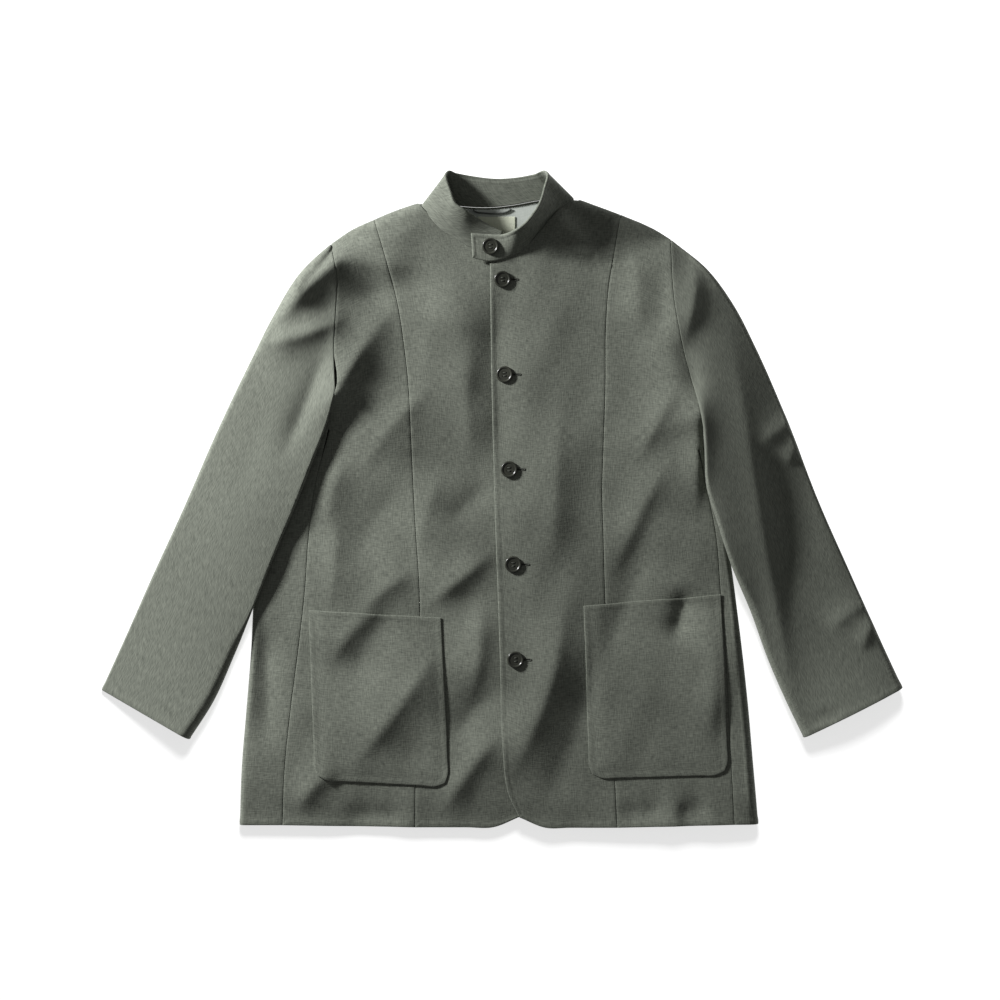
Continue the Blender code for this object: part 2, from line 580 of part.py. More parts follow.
class Sleeve:
    """A set-in sleeve as an upper and an under layer over the same plan.

    u runs across from the outer edge (0) to the inner one (1), w along from the head (0) to the cuff.
    """

    def __init__(self, side):
        self.side = side
        self.outer = Curve([(row.outer_x, row.outer_y) for row in side.arm])
        self.inner = Curve([(row.inner_x, row.inner_y) for row in side.arm])
        self.head = Curve(side.armhole)
        self.cuff = Curve([tuple(self.outer(1.0)), tuple(self.inner(1.0))])

    def plan(self, u, w):
        """Plan points: the two edges blended across, the armhole and the cuff blended along."""
        return patch(u, w, self.outer, self.inner, self.head, self.cuff)

    def width(self, w):
        """Length of the sleeve's rings in plan."""
        u = np.linspace(0.0, 1.0, 9)[:, None] * np.ones_like(w)
        rings = self.plan(u, np.broadcast_to(w, u.shape))
        return np.linalg.norm(np.diff(rings, axis=0), axis=-1).sum(axis=0)

    def upper_height(self, u, w):
        """Height of the upper layer: a curve through three heights across each ring, and the creases."""
        rows = self.side.arm_heights
        shares = [row.share for row in rows]
        outer = np.interp(w, shares, [row.outer for row in rows])
        middle = np.interp(w, shares, [row.middle for row in rows])
        inner = np.interp(w, shares, [row.inner for row in rows])
        bow = 2 * (outer + inner) - 4 * middle
        height = outer + u * (inner - outer) - bow * u * (1 - u)
        faded = smoothstep(0.0, HEAD_FADE, w) * smoothstep(0.0, CUFF_FADE, 1.0 - w)
        height = height + faded * fold_height(self.plan(u, w), self.side.arm_folds)
        sewn = 1.0 - smoothstep(0.0, HEAD_BLEND, w)
        return height + (seam_height(self.side, u) - height) * sewn

    def under_height(self, u, w):
        """Height of the under layer: on the floor, climbing over the body and pinched to the underarm."""
        points = self.plan(u, w)
        sign = self.side.sign
        rows = [(row.y, row.edge) for row in self.side.body]
        tip = self.side.shoulder[-1]
        underarm, line = rows[-1]
        rows.append((underarm + UNDERARM_BEND[1], line + sign * UNDERARM_BEND[0]))
        rows.append((tip[1], tip[0] + sign * SHOULDER_TIP_CLEAR))
        ys, xs = zip(*rows)
        inside = sign * (np.interp(points[..., 1], ys, xs) - points[..., 0])
        lead = CLIMB_LEAD * (1.0 - smoothstep(*UNDERARM_CLIMB, points[..., 1] - underarm))
        height = FLOOR_LAY + SLEEVE_CLIMB * smoothstep(0.0, CLIMB_WIDTH, inside + lead)
        pinch = (1.0 - smoothstep(0.0, PINCH_LENGTH, w)) * smoothstep(PINCH_START, 1.0, u)
        return height + (self.upper_height(u, w) - PINCH_HEIGHT - height) * pinch

    def upper(self, u, w):
        plan = self.plan(u, w)
        return raised(plan, self.upper_height(u, w))

    def under(self, u, w):
        plan = self.plan(u, w)
        return raised(plan, self.under_height(u, w))

    def fold_share(self, w, at):
        """Share across at which the cloth starts to turn round the edge at 0 or 1."""
        inset = np.full_like(w, 6.0)
        for _ in range(3):
            u = at + (0.5 - at) * 2 * inset / self.width(w)
            inset = np.abs(self.upper(u, w)[:, 2] - self.under(u, w)[:, 2]) / 2 + CLOTH / 2
        return at + (0.5 - at) * 2 * inset / self.width(w)

    def across(self, layer, start, end, w, steps):
        """One layer between two shares across, row by row."""
        share = np.linspace(0.0, 1.0, steps + 1)[:, None]
        u = start + share * (end - start)
        return layer(u, np.broadcast_to(w, u.shape))

    def turn(self, w, at, from_upper):
        """The half-turn round one edge of the sleeve."""
        fold = self.fold_share(w, at)
        upper, under = self.upper(fold, w), self.under(fold, w)
        outward = self.plan(np.full_like(w, at), w) - upper[:, :2]
        outward = outward / np.linalg.norm(outward, axis=1, keepdims=True)
        first, last = (upper, under) if from_upper else (under, upper)
        return rolled(upper[:, :2], outward, first[:, 2], last[:, 2])

    def rows(self):
        """Shares along the sleeve, just clear of the armhole seam at its head."""
        clear = ARMHOLE_GAP / 2 / np.linalg.norm(self.outer(1.0) - self.outer(0.0))
        return np.linspace(clear, 1.0, SLEEVE_ROWS + 1)

    def seam_shares(self, w):
        """Shares across of the inner seam, on top, and of the outer seam, underneath."""
        width = self.width(w)
        show = UNDERSLEEVE_SHOW * smoothstep(0.0, CUFF_FADE, w) + INNER_SEAM_INSET
        return 1.0 - show / width / self.slant(w), self.fold_share(w, 0.0) + SLEEVE_TURN / width

    def slant(self, w):
        """How squarely the rings meet the inner edge: 1 where they cross it at a right angle."""
        edge = self.plan(np.ones_like(w), w)
        ring = edge - self.plan(np.full_like(w, 1.0 - SLANT_STEP), w)
        ahead = np.minimum(w + SLANT_STEP, 1.0)
        course = self.inner(ahead) - self.inner(ahead - 2 * SLANT_STEP)
        turn = ring[:, 0] * course[:, 1] - ring[:, 1] * course[:, 0]
        square = np.abs(turn) / np.linalg.norm(ring, axis=1) / np.linalg.norm(course, axis=1)
        return np.maximum(square, LEAST_SLANT)

    def top_piece(self):
        """Upper sleeve: from the inner seam across, over the outer edge and a little way under."""
        w = self.rows()
        inner_seam, outer_seam = self.seam_shares(w)
        fold = self.fold_share(w, 0.0)
        over = self.across(self.upper, inner_seam, fold, w, SLEEVE_COLUMNS)
        below = self.across(self.under, fold, outer_seam, w, TURN_STEPS)
        return np.concatenate([over, self.turn(w, 0.0, True), below])

    def under_piece(self):
        """Under sleeve: along the floor from the outer seam, round the inner edge to the inner seam."""
        w = self.rows()
        inner_seam, outer_seam = self.seam_shares(w)
        gap = HIDDEN_GAP / self.width(w)
        fold = self.fold_share(w, 1.0)
        below = self.across(self.under, outer_seam + gap, fold, w, SLEEVE_COLUMNS)
        over_end = np.minimum(inner_seam + INNER_SEAM_GAP / self.width(w) / self.slant(w), fold)
        over = self.across(self.upper, fold, over_end, w, 1)
        return np.concatenate([below, self.turn(w, 1.0, False), over])


def towards(start, end, distance):
    """The point this far from start on the way to end."""
    return start + distance * (end - start) / np.linalg.norm(end - start)


def pocket_panel(side):
    """Patch pocket: a four-sided patch with rounded lower corners, lifted off the front under it."""
    top_in, top_out, bottom_out, bottom_in = (np.array(corner) for corner in side.pocket)
    cut = POCKET_RADIUS * (math.sqrt(2.0) - 1.0)
    low_in, low_out = towards(bottom_in, top_out, cut), towards(bottom_out, top_in, cut)
    reaches = (POCKET_RADIUS, 2 * POCKET_RADIUS)
    inner = Curve([low_in] + [towards(bottom_in, top_in, reach) for reach in reaches] + [top_in])
    outer = Curve([low_out] + [towards(bottom_out, top_out, reach) for reach in reaches] + [top_out])
    bottom = Curve(
        [low_in]
        + [towards(bottom_in, bottom_out, reach) for reach in reaches]
        + [towards(bottom_out, bottom_in, reach) for reach in reversed(reaches)]
        + [low_out]
    )
    top = Curve((top_in, top_out))
    steps = np.linspace(0.0, 1.0, POCKET_STEPS + 1)
    u, v = np.meshgrid(steps, steps, indexing="ij")
    return moved_out(patch(u, v, inner, outer, bottom, top), CLOTH + LAYER_GAP)


def moved_out(plan, distance):
    """Points of the fronts at some plan points, moved out from the cloth along its own direction."""
    step = 1.0
    base = front_height(plan)
    slope_x = (front_height(plan + np.array((step, 0.0))) - base) / step
    slope_y = (front_height(plan + np.array((0.0, step))) - base) / step
    normal = np.stack([-slope_x, -slope_y, np.ones_like(base)], -1)
    normal /= np.linalg.norm(normal, axis=-1, keepdims=True)
    return raised(plan, base) + distance * normal


def collar_point(along, up):
    """Places on the collar band: straight between its sewn edge and its free edge."""
    base = Curve([row[:3] for row in COLLAR])
    share = base.knots
    top = np.array([row[3:] for row in COLLAR])
    free = Curve(top)
    free.knots = share
    free.slopes = np.gradient(top, share, axis=0)
    return (1 - up[..., None]) * base(along) + up[..., None] * free(along)


def collar_panel():
    """The band collar, from its tab round the neck to the end under the tab."""
    along, up = np.meshgrid(
        np.linspace(0.0, 1.0, COLLAR_STEPS + 1), np.linspace(0.0, 1.0, COLLAR_ROWS + 1), indexing="ij"
    )
    return collar_point(along, up)


def lining_panel():
    """The part of the lining that shows inside the neck, flat on the back."""
    neck = [(row.base_x, row.base_y - LINING_TOP_DROP) for row in COLLAR[BACK_NECK_ROWS]]
    top, bottom = Curve(neck[::-1]), Curve(LINING_BOTTOM)
    u, v = np.meshgrid(np.linspace(0.0, 1.0, 9), np.linspace(0.0, 1.0, 5), indexing="ij")
    plan = (1 - v[..., None]) * bottom(u) + v[..., None] * top(u)
    return raised(plan, np.full(u.shape, LINING_LAY))


def label_panel():
    """The bare label, flat on the lining."""
    u, v = np.meshgrid(np.linspace(-0.5, 0.5, 4), np.linspace(-0.5, 0.5, 3), indexing="ij")
    plan = np.stack([u * LABEL_SIZE[0], v * LABEL_SIZE[1]], -1) + np.array(LABEL_CENTRE)
    return raised(plan, np.full(u.shape, LINING_LAY + THIN_CLOTH + SEAM_GAP))


def material(name, colour, roughness):
    made = bpy.data.materials.new(name)
    made.use_nodes = True
    shader = made.node_tree.nodes["Principled BSDF"]
    shader.inputs["Base Color"].default_value = (*colour, 1.0)
    shader.inputs["Roughness"].default_value = roughness
    shader.inputs["Metallic"].default_value = 0.0
    return made


def add_object(name, data, finish):
    made = bpy.data.objects.new(name, data)
    bpy.context.scene.collection.objects.link(made)
    if not data.materials:
        data.materials.append(finish)
    return made


def cloth(name, grid, thickness, finish):
    """A grid of places as a wall of cloth with this thickness."""
    columns, rows = grid.shape[:2]
    index = np.arange(columns * rows).reshape(columns, rows)
    faces = np.stack([index[:-1, :-1], index[1:, :-1], index[1:, 1:], index[:-1, 1:]], -1).reshape(-1, 4)
    mesh = bpy.data.meshes.new(name)
    mesh.from_pydata((grid.reshape(-1, 3) * MM).tolist(), [], faces.tolist())
    mesh.shade_smooth()
    made = add_object(name, mesh, finish)
    wall = made.modifiers.new("wall", "SOLIDIFY")
    wall.thickness = thickness * MM
    wall.offset = 0.0
    return made


def button_mesh(finish):
    """A turned button: a raised rim, a groove inside it, a dished middle and four holes."""
    turned = bpy.data.meshes.new("button")
    points = [(r * BUTTON_RADIUS * MM, 0.0, h * BUTTON_HEIGHT * MM) for r, h in reversed(BUTTON_PROFILE)]
    turned.from_pydata(points, [(i, i + 1) for i in range(len(points) - 1)], [])
    blank = add_object("button_blank", turned, finish)
    screw = blank.modifiers.new("turned", "SCREW")
    screw.steps = screw.render_steps = BUTTON_STEPS
    screw.use_merge_vertices = True
    screw.merge_threshold = 0.00001
    drills = []
    for i in range(4):
        angle = math.pi / 4 + i * math.pi / 2
        place = Vector((math.cos(angle), math.sin(angle), 0.0)) * HOLE_SPREAD * math.sqrt(2) * MM
        drills.append(drill(f"drill_{i}", place))
        cut = blank.modifiers.new(f"hole_{i}", "BOOLEAN")
        cut.operation = "DIFFERENCE"
        cut.object = drills[-1]
    graph = bpy.context.evaluated_depsgraph_get()
    mesh = bpy.data.meshes.new_from_object(blank.evaluated_get(graph))
    mesh.set_sharp_from_angle(angle=math.radians(40.0))
    for helper in [blank] + drills:
        bpy.data.objects.remove(helper)
    return mesh


def drill(name, place):
    """A cutter for one thread hole, longer than the button is thick."""
    turns = [2 * math.pi * i / HOLE_SIDES for i in range(HOLE_SIDES)]
    ring = [(HOLE_RADIUS * math.cos(a) * MM, HOLE_RADIUS * math.sin(a) * MM) for a in turns]
    low = [(x + place.x, y + place.y, -BUTTON_HEIGHT * MM) for x, y in ring]
    high = [(x + place.x, y + place.y, 2 * BUTTON_HEIGHT * MM) for x, y in ring]
    sides = [(i, (i + 1) % HOLE_SIDES) for i in range(HOLE_SIDES)]
    walls = [(i, j, HOLE_SIDES + j, HOLE_SIDES + i) for i, j in sides]
    caps = [tuple(reversed(range(HOLE_SIDES))), tuple(range(HOLE_SIDES, 2 * HOLE_SIDES))]
    mesh = bpy.data.meshes.new(name)
    mesh.from_pydata(low + high, [], walls + caps)
    made = bpy.data.objects.new(name, mesh)
    bpy.context.scene.collection.objects.link(made)
    made.hide_render = True
    made.display_type = "WIRE"
    return made


def button_places():
    """Seat and direction of each button: one on the tab, the rest down the upper front."""
    along, up = (np.array([value]) for value in TAB_BUTTON)
    step = 0.01
    seat = collar_point(along, up)[0]
    across = collar_point(along + step, up)[0] - seat
    normal = np.cross(across, collar_point(along, up + step)[0] - seat)
    yield seat, normal / np.linalg.norm(normal), COLLAR_CLOTH
    for i in range(BODY_BUTTONS):
        y = FIRST_BUTTON_Y - i * BUTTON_PITCH
        plan = np.array([(edge_x(y) + BUTTON_INSET, y)])
        seat = moved_out(plan, 0.0)[0] + np.array((0.0, 0.0, lap_rise(plan)[0]))
        yield seat, moved_out(plan, 1.0)[0] - moved_out(plan, 0.0)[0], CLOTH


def add_buttons(finish):
    mesh = button_mesh(finish)
    for i, (seat, normal, wall) in enumerate(button_places()):
        made = add_object(f"button_{i + 1}", mesh, finish)
        place = Vector(seat + normal * (wall / 2 + BUTTON_LIFT)) * MM
        turn = Vector((0.0, 0.0, 1.0)).rotation_difference(Vector(normal)).to_matrix().to_4x4()
        made.matrix_world = Matrix.Translation(place) @ turn


def add_loop(finish):
    """Hanger loop: a thin rolled strip along the back of the neck."""
    line = bpy.data.curves.new("hanger_loop", "CURVE")
    line.dimensions = "3D"
    line.bevel_depth = LOOP_RADIUS * MM
    line.bevel_resolution = 1
    line.use_fill_caps = True
    points = Curve(LOOP_PATH)(np.linspace(0.0, 1.0, LOOP_STEPS + 1))
    height = LINING_LAY + THIN_CLOTH / 2 + SEAM_GAP + LOOP_RADIUS
    spline = line.splines.new("POLY")
    spline.points.add(len(points) - 1)
    for point, (x, y) in zip(spline.points, points):
        point.co = (x * MM, y * MM, height * MM, 1.0)
    add_object("hanger_loop", line, finish)


def main():
    for old in list(bpy.data.objects):
        bpy.data.objects.remove(old)
    wool = material("wool_melange", CLOTH_COLOUR, 0.9)
    horn = material("horn_button", BUTTON_COLOUR, 0.35)
    satin = material("neck_lining", LINING_COLOUR, 0.6)
    tape = material("label_tape", LABEL_COLOUR, 0.7)
    cloth("back", back_panel(), CLOTH, wool)
    for side in SIDES:
        cloth(f"front_centre_{side.name}", front_centre(side), CLOTH, wool)
        cloth(f"front_flank_{side.name}", front_flank(side), CLOTH, wool)
        cloth(f"side_{side.name}", side_panel(side), CLOTH, wool)
        sleeve = Sleeve(side)
        cloth(f"sleeve_top_{side.name}", sleeve.top_piece(), CLOTH, wool)
        cloth(f"sleeve_under_{side.name}", sleeve.under_piece(), CLOTH, wool)
        cloth(f"pocket_{side.name}", pocket_panel(side), CLOTH, wool)
    cloth("collar", collar_panel(), COLLAR_CLOTH, wool)
    cloth("lining", lining_panel(), THIN_CLOTH, satin)
    cloth("label", label_panel(), THIN_CLOTH, tape)
    add_loop(wool)
    add_buttons(horn)


main()
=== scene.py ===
"""Looks of a band-collar blazer that lies flat: creased cloth, sewing, buttons and a studio.

Tables and sizes are in millimetres and become metres in the meshes. X runs to the right of someone
looking down on the front, Y towards the collar and Z up from the floor. Right and left are the
wearer's, so the right side is at -X.
"""

from __future__ import annotations

import json
import logging
import math
from dataclasses import dataclass
from enum import Enum
from typing import Callable, NamedTuple, Sequence

import bpy
import numpy as np
from mathutils import Matrix, Vector

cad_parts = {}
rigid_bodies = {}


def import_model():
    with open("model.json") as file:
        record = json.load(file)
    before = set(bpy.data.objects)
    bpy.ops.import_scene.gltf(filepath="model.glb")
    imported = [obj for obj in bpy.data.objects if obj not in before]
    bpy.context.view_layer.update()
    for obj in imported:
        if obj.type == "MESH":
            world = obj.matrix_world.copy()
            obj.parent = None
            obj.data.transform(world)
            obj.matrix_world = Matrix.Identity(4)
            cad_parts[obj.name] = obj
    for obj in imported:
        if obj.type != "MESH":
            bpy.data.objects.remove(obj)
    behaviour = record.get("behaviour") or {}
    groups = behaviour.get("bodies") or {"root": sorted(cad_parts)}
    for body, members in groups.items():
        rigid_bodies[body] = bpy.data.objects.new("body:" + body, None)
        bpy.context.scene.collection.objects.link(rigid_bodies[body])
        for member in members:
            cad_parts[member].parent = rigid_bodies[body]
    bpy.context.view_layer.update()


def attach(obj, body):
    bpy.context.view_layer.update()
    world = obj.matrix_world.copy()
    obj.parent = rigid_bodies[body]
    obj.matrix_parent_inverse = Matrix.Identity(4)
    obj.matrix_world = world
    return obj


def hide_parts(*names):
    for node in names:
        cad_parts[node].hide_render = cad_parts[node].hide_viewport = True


LOG = logging.getLogger("blazer")
MM = 0.001
MM_PER_CM = 10.0
ROOT = "root"

Edge = Callable[[np.ndarray], np.ndarray]
Layer = Callable[[np.ndarray, np.ndarray], np.ndarray]
Plan = tuple[float, float]

# Cloth walls and the gaps between them
CLOTH = 1.6
COLLAR_CLOTH = 3.0
THIN_CLOTH = 0.8
SEAM_GAP = 0.3
UNDER_GAP = 0.1
NECK_TUCK = 2.0

# Steps of the grids: close together beside an edge, then even
RIM_STEPS = (0.0, 0.3, 0.8, 1.5, 2.4, 3.5, 5.0, 6.3, 7.3, 8.4, 10.0)
BODY_STEP = 3.4
HIDDEN_STEP = 6.0
POCKET_STEP = 2.6
ROLL_SHARES = np.linspace(0.0, 1.0, 13)[1:-1]
TUBE_END = 0.001

# How the layers lie, as heights of the middle of the wall
FLOOR_LAY = CLOTH / 2
LINING_LAY = CLOTH + SEAM_GAP + THIN_CLOTH / 2
SHOULDER_LAY = CLOTH + SEAM_GAP + CLOTH / 2


class BodyRow(NamedTuple):
    """The body's side edge, side seam and panel seam at one level."""

    y: float
    edge: float
    seam: float
    panel: float


class ArmRow(NamedTuple):
    """One ring of a sleeve: its outer and inner edge."""

    outer_x: float
    outer_y: float
    inner_x: float
    inner_y: float


class ArmHeight(NamedTuple):
    """Heights of a sleeve's upper layer across one ring, at a share of the way to the cuff."""

    share: float
    outer: float
    middle: float
    inner: float


class Fold(NamedTuple):
    """One crease: a soft ridge or trough along a bent line.

    It falls away over near_width on the left hand of its course and far_width on the right.
    """

    start: Plan
    middle: Plan
    end: Plan
    near_width: float
    far_width: float
    height: float


class Wave(NamedTuple):
    """One slanted wave of loose cloth: its turn per millimetre along X and Y, and where it starts."""

    along_x: float
    along_y: float
    start: float


class CollarRow(NamedTuple):
    """One station of the collar band: its sewn edge and its free edge."""

    base_x: float
    base_y: float
    base_z: float
    top_x: float
    top_y: float
    top_z: float


class PocketCorners(NamedTuple):
    """Corners of a patch pocket, from the front's middle to its side."""

    top_in: Plan
    top_out: Plan
    bottom_out: Plan
    bottom_in: Plan


class ButtonSeat(NamedTuple):
    """Where a button sits: the middle of the cloth, the way off it, and the cloth's thickness."""

    place: np.ndarray
    normal: np.ndarray
    wall: float


class FlatCut(NamedTuple):
    """Size of a piece before sewing: width, length and area, in metres."""

    width: float
    length: float
    area: float


RIGHT_BODY = (
    BodyRow(-390.0, -313.5, -262.0, -103.0),
    BodyRow(-320.0, -311.0, -259.0, -102.0),
    BodyRow(-250.0, -305.5, -252.0, -98.5),
    BodyRow(-180.0, -300.0, -243.0, -97.0),
    BodyRow(-110.0, -296.5, -235.0, -97.5),
    BodyRow(-40.0, -291.0, -230.0, -102.0),
    BodyRow(25.0, -286.0, -221.0, -105.5),
    BodyRow(84.0, -280.0, -205.0, -108.0),
)
LEFT_BODY = (
    BodyRow(-388.5, 308.5, 279.0, 139.0),
    BodyRow(-320.0, 302.5, 275.5, 135.5),
    BodyRow(-250.0, 296.5, 271.5, 131.0),
    BodyRow(-180.0, 289.0, 268.0, 127.0),
    BodyRow(-110.0, 280.5, 263.0, 124.5),
    BodyRow(-40.0, 271.0, 257.0, 122.5),
    BodyRow(10.0, 264.5, 247.0, 121.0),
    BodyRow(60.0, 258.0, 235.0, 122.5),
)
# The rest of each panel seam, from the last row above up to the shoulder
RIGHT_PANEL_TOP = (
    (-110.0, 125.0), (-115.5, 180.0), (-124.0, 235.0), (-137.0, 285.0), (-152.4, 336.4),
)
LEFT_PANEL_TOP = (
    (125.0, 141.0), (125.5, 204.0), (129.0, 255.0), (136.0, 298.0), (143.6, 342.2),
)
RIGHT_SHOULDER = ((-99.6, 356.0), (-125.0, 347.5), (-154.0, 335.5), (-181.0, 323.0), (-204.0, 307.0))
LEFT_SHOULDER = ((94.8, 360.0), (129.0, 347.5), (158.0, 336.5), (187.0, 323.5), (204.0, 313.0))
RIGHT_ARMHOLE = ((-204.0, 307.0), (-196.0, 270.0), (-197.0, 225.0), (-199.0, 180.0), (-197.0, 130.5))
LEFT_ARMHOLE = ((204.0, 313.0), (204.0, 275.0), (207.0, 235.0), (219.0, 175.0), (240.0, 106.5))

RIGHT_ARM = (
    ArmRow(-204.0, 307.0, -197.0, 130.5),
    ArmRow(-240.0, 271.5, -208.0, 90.0),
    ArmRow(-271.0, 223.5, -224.0, 47.0),
    ArmRow(-299.0, 169.5, -243.0, -2.0),
    ArmRow(-340.0, 84.0, -266.0, -56.0),
    ArmRow(-383.0, -14.0, -292.0, -120.0),
    ArmRow(-418.0, -90.0, -319.0, -185.0),
    ArmRow(-449.0, -160.0, -345.0, -243.0),
    ArmRow(-480.0, -228.5, -373.0, -287.0),
)
LEFT_ARM = (
    ArmRow(204.0, 313.0, 240.0, 106.5),
    ArmRow(248.0, 276.0, 243.5, 62.0),
    ArmRow(279.0, 234.0, 246.0, 14.0),
    ArmRow(305.0, 184.0, 258.0, -26.0),
    ArmRow(342.0, 100.0, 276.0, -80.0),
    ArmRow(383.0, -5.0, 300.0, -135.0),
    ArmRow(418.0, -84.0, 321.0, -193.0),
    ArmRow(450.0, -156.0, 343.0, -244.0),
    ArmRow(481.0, -225.0, 362.5, -285.0),
)
RIGHT_ARM_HEIGHTS = (
    ArmHeight(0.00, 7.0, 15.0, 22.0),
    ArmHeight(0.15, 12.0, 19.0, 24.0),
    ArmHeight(0.45, 12.0, 20.5, 22.5),
    ArmHeight(0.70, 8.0, 15.0, 19.0),
    ArmHeight(1.00, 3.0, 14.0, 25.0),
)
LEFT_ARM_HEIGHTS = (
    ArmHeight(0.00, 7.0, 22.0, 25.0),
    ArmHeight(0.15, 13.0, 27.0, 27.0),
    ArmHeight(0.45, 8.0, 19.0, 25.0),
    ArmHeight(0.65, 6.0, 11.0, 14.0),
    ArmHeight(0.82, 8.0, 11.0, 12.0),
    ArmHeight(1.00, 18.0, 22.0, 19.0),
)
# Height of the armhole seam, by share from the shoulder down
RIGHT_SEAM_HEIGHTS = ((0.0, 2.8), (0.15, 11.0), (0.4, 16.0), (0.75, 21.0), (1.0, 23.0))
LEFT_SEAM_HEIGHTS = ((0.0, 2.8), (0.15, 16.0), (0.4, 24.0), (0.75, 26.0), (1.0, 23.0))

RIGHT_POCKET = PocketCorners((-71.5, -141.0), (-230.0, -132.0), (-223.0, -335.5), (-62.0, -343.5))
LEFT_POCKET = PocketCorners((98.5, -127.0), (263.5, -113.0), (272.0, -329.0), (106.0, -334.0))

# Creases of the fronts: first those of the right side, then those of the left
FRONT_FOLDS = (
    Fold((-196.0, 280.0), (-139.0, 314.0), (-60.0, 332.0), 24.0, 24.0, 3.5),
    Fold((-222.0, 284.0), (-160.0, 284.0), (-84.0, 276.0), 22.0, 15.0, 6.0),
    Fold((-196.0, 237.0), (-133.0, 255.0), (-52.0, 256.0), 26.0, 26.0, -5.0),
    Fold((-97.0, 252.0), (-131.0, 225.0), (-160.0, 180.0), 45.0, 30.0, 5.0),
    Fold((-138.0, 222.0), (-179.0, 158.0), (-229.0, 72.0), 25.0, 34.0, 12.5),
    Fold((0.0, 196.0), (-73.0, 219.0), (-128.0, 226.0), 40.0, 28.0, 6.5),
    Fold((-66.0, 148.0), (-124.0, 96.0), (-179.0, 16.0), 26.0, 40.0, 7.0),
    Fold((-37.0, 198.0), (-41.0, 120.0), (-35.0, 36.0), 18.0, 32.0, 5.0),
    Fold((-2.0, 276.0), (-4.0, 130.0), (1.0, -20.0), 20.0, 18.0, -4.5),
    Fold((2.0, 26.0), (-32.0, 2.0), (-73.0, -36.0), 18.0, 16.0, -4.5),
    Fold((-66.0, 45.0), (-86.0, -10.0), (-100.0, -78.0), 28.0, 18.0, 4.5),
    Fold((-116.0, 26.0), (-152.0, -24.0), (-179.0, -99.0), 34.0, 34.0, -5.0),
    Fold((-176.0, 62.0), (-198.0, 18.0), (-210.0, -48.0), 22.0, 14.0, 4.5),
    Fold((4.0, -53.0), (-50.0, -95.0), (-101.0, -137.0), 14.0, 32.0, 7.5),
    Fold((-94.0, -82.0), (-136.0, -105.0), (-175.0, -144.0), 16.0, 28.0, 6.0),
    Fold((-196.0, -8.0), (-199.0, -76.0), (-206.0, -140.0), 18.0, 20.0, 5.0),
    Fold((-138.0, -124.0), (-176.0, -154.0), (-210.0, -204.0), 16.0, 22.0, 5.5),
    Fold((-124.0, -130.0), (-158.0, -168.0), (-179.0, -236.0), 28.0, 22.0, -4.5),
    Fold((-70.0, -171.0), (-119.0, -243.0), (-184.0, -328.0), 24.0, 36.0, 10.0),
    Fold((-188.0, -320.0), (-223.0, -342.0), (-248.0, -380.0), 14.0, 20.0, 6.0),
    Fold((-28.0, -111.0), (-25.0, -180.0), (-40.0, -250.0), 16.0, 30.0, 7.0),
    Fold((4.0, -221.0), (-35.0, -257.0), (-62.0, -300.0), 24.0, 20.0, -6.0),
    Fold((7.0, -267.0), (-37.0, -322.0), (-77.0, -382.0), 20.0, 32.0, 10.0),
    Fold((-193.0, -375.0), (-145.0, -377.0), (-100.0, -375.0), 12.0, 12.0, -4.0),
    Fold((-284.0, -126.0), (-281.0, -220.0), (-284.0, -312.0), 13.0, 13.0, -6.5),
    Fold((53.0, 285.0), (62.0, 318.0), (90.0, 348.0), 26.0, 95.0, 11.5),
    Fold((155.0, 321.0), (163.0, 258.0), (166.0, 186.0), 26.0, 24.0, 5.0),
    Fold((187.0, 292.0), (193.0, 240.0), (186.0, 180.0), 18.0, 18.0, -4.5),
    Fold((72.0, 138.0), (67.0, 24.0), (61.0, -90.0), 26.0, 26.0, 4.5),
    Fold((214.0, 144.0), (185.0, 90.0), (158.0, 38.0), 14.0, 30.0, 6.0),
    Fold((235.0, 150.0), (235.0, 72.0), (232.0, -26.0), 10.0, 28.0, 11.0),
    Fold((214.0, 66.0), (186.0, 18.0), (130.0, -96.0), 42.0, 22.0, 7.0),
    Fold((196.0, 36.0), (174.0, -34.0), (128.0, -125.0), 24.0, 24.0, -4.0),
    Fold((200.0, -39.0), (167.0, -87.0), (119.0, -202.0), 28.0, 28.0, -5.0),
    Fold((82.0, -96.0), (60.0, -216.0), (-1.0, -358.0), 27.0, 48.0, 10.5),
    Fold((119.0, -159.0), (95.0, -260.0), (50.0, -378.0), 30.0, 26.0, -3.0),
    Fold((223.0, -98.0), (216.0, -137.0), (204.0, -180.0), 15.0, 15.0, -10.0),
    Fold((253.0, -126.0), (256.0, -216.0), (248.0, -300.0), 18.0, 26.0, 5.0),
    Fold((290.0, -60.0), (298.0, -270.0), (306.0, -480.0), 10.0, 44.0, 6.0),
    Fold((60.0, -398.0), (205.0, -397.0), (350.0, -390.0), 50.0, 10.0, 8.5),
    Fold((132.0, -372.0), (170.0, -374.0), (208.0, -370.0), 12.0, 12.0, -5.0),
    Fold((206.0, -374.0), (228.0, -372.0), (252.0, -366.0), 10.0, 12.0, -4.0),
)
RIGHT_ARM_FOLDS = (
    Fold((-166.0, 308.0), (-222.0, 262.0), (-280.0, 196.0), 23.0, 32.0, 23.5),
    Fold((-176.0, 220.0), (-240.0, 195.0), (-308.0, 184.0), 19.0, 24.0, 15.5),
    Fold((-204.0, 192.0), (-224.0, 138.0), (-268.0, 36.0), 7.0, 8.0, -5.0),
    Fold((-271.0, 144.0), (-299.0, 54.0), (-318.0, -24.0), 22.0, 26.0, -2.0),
)
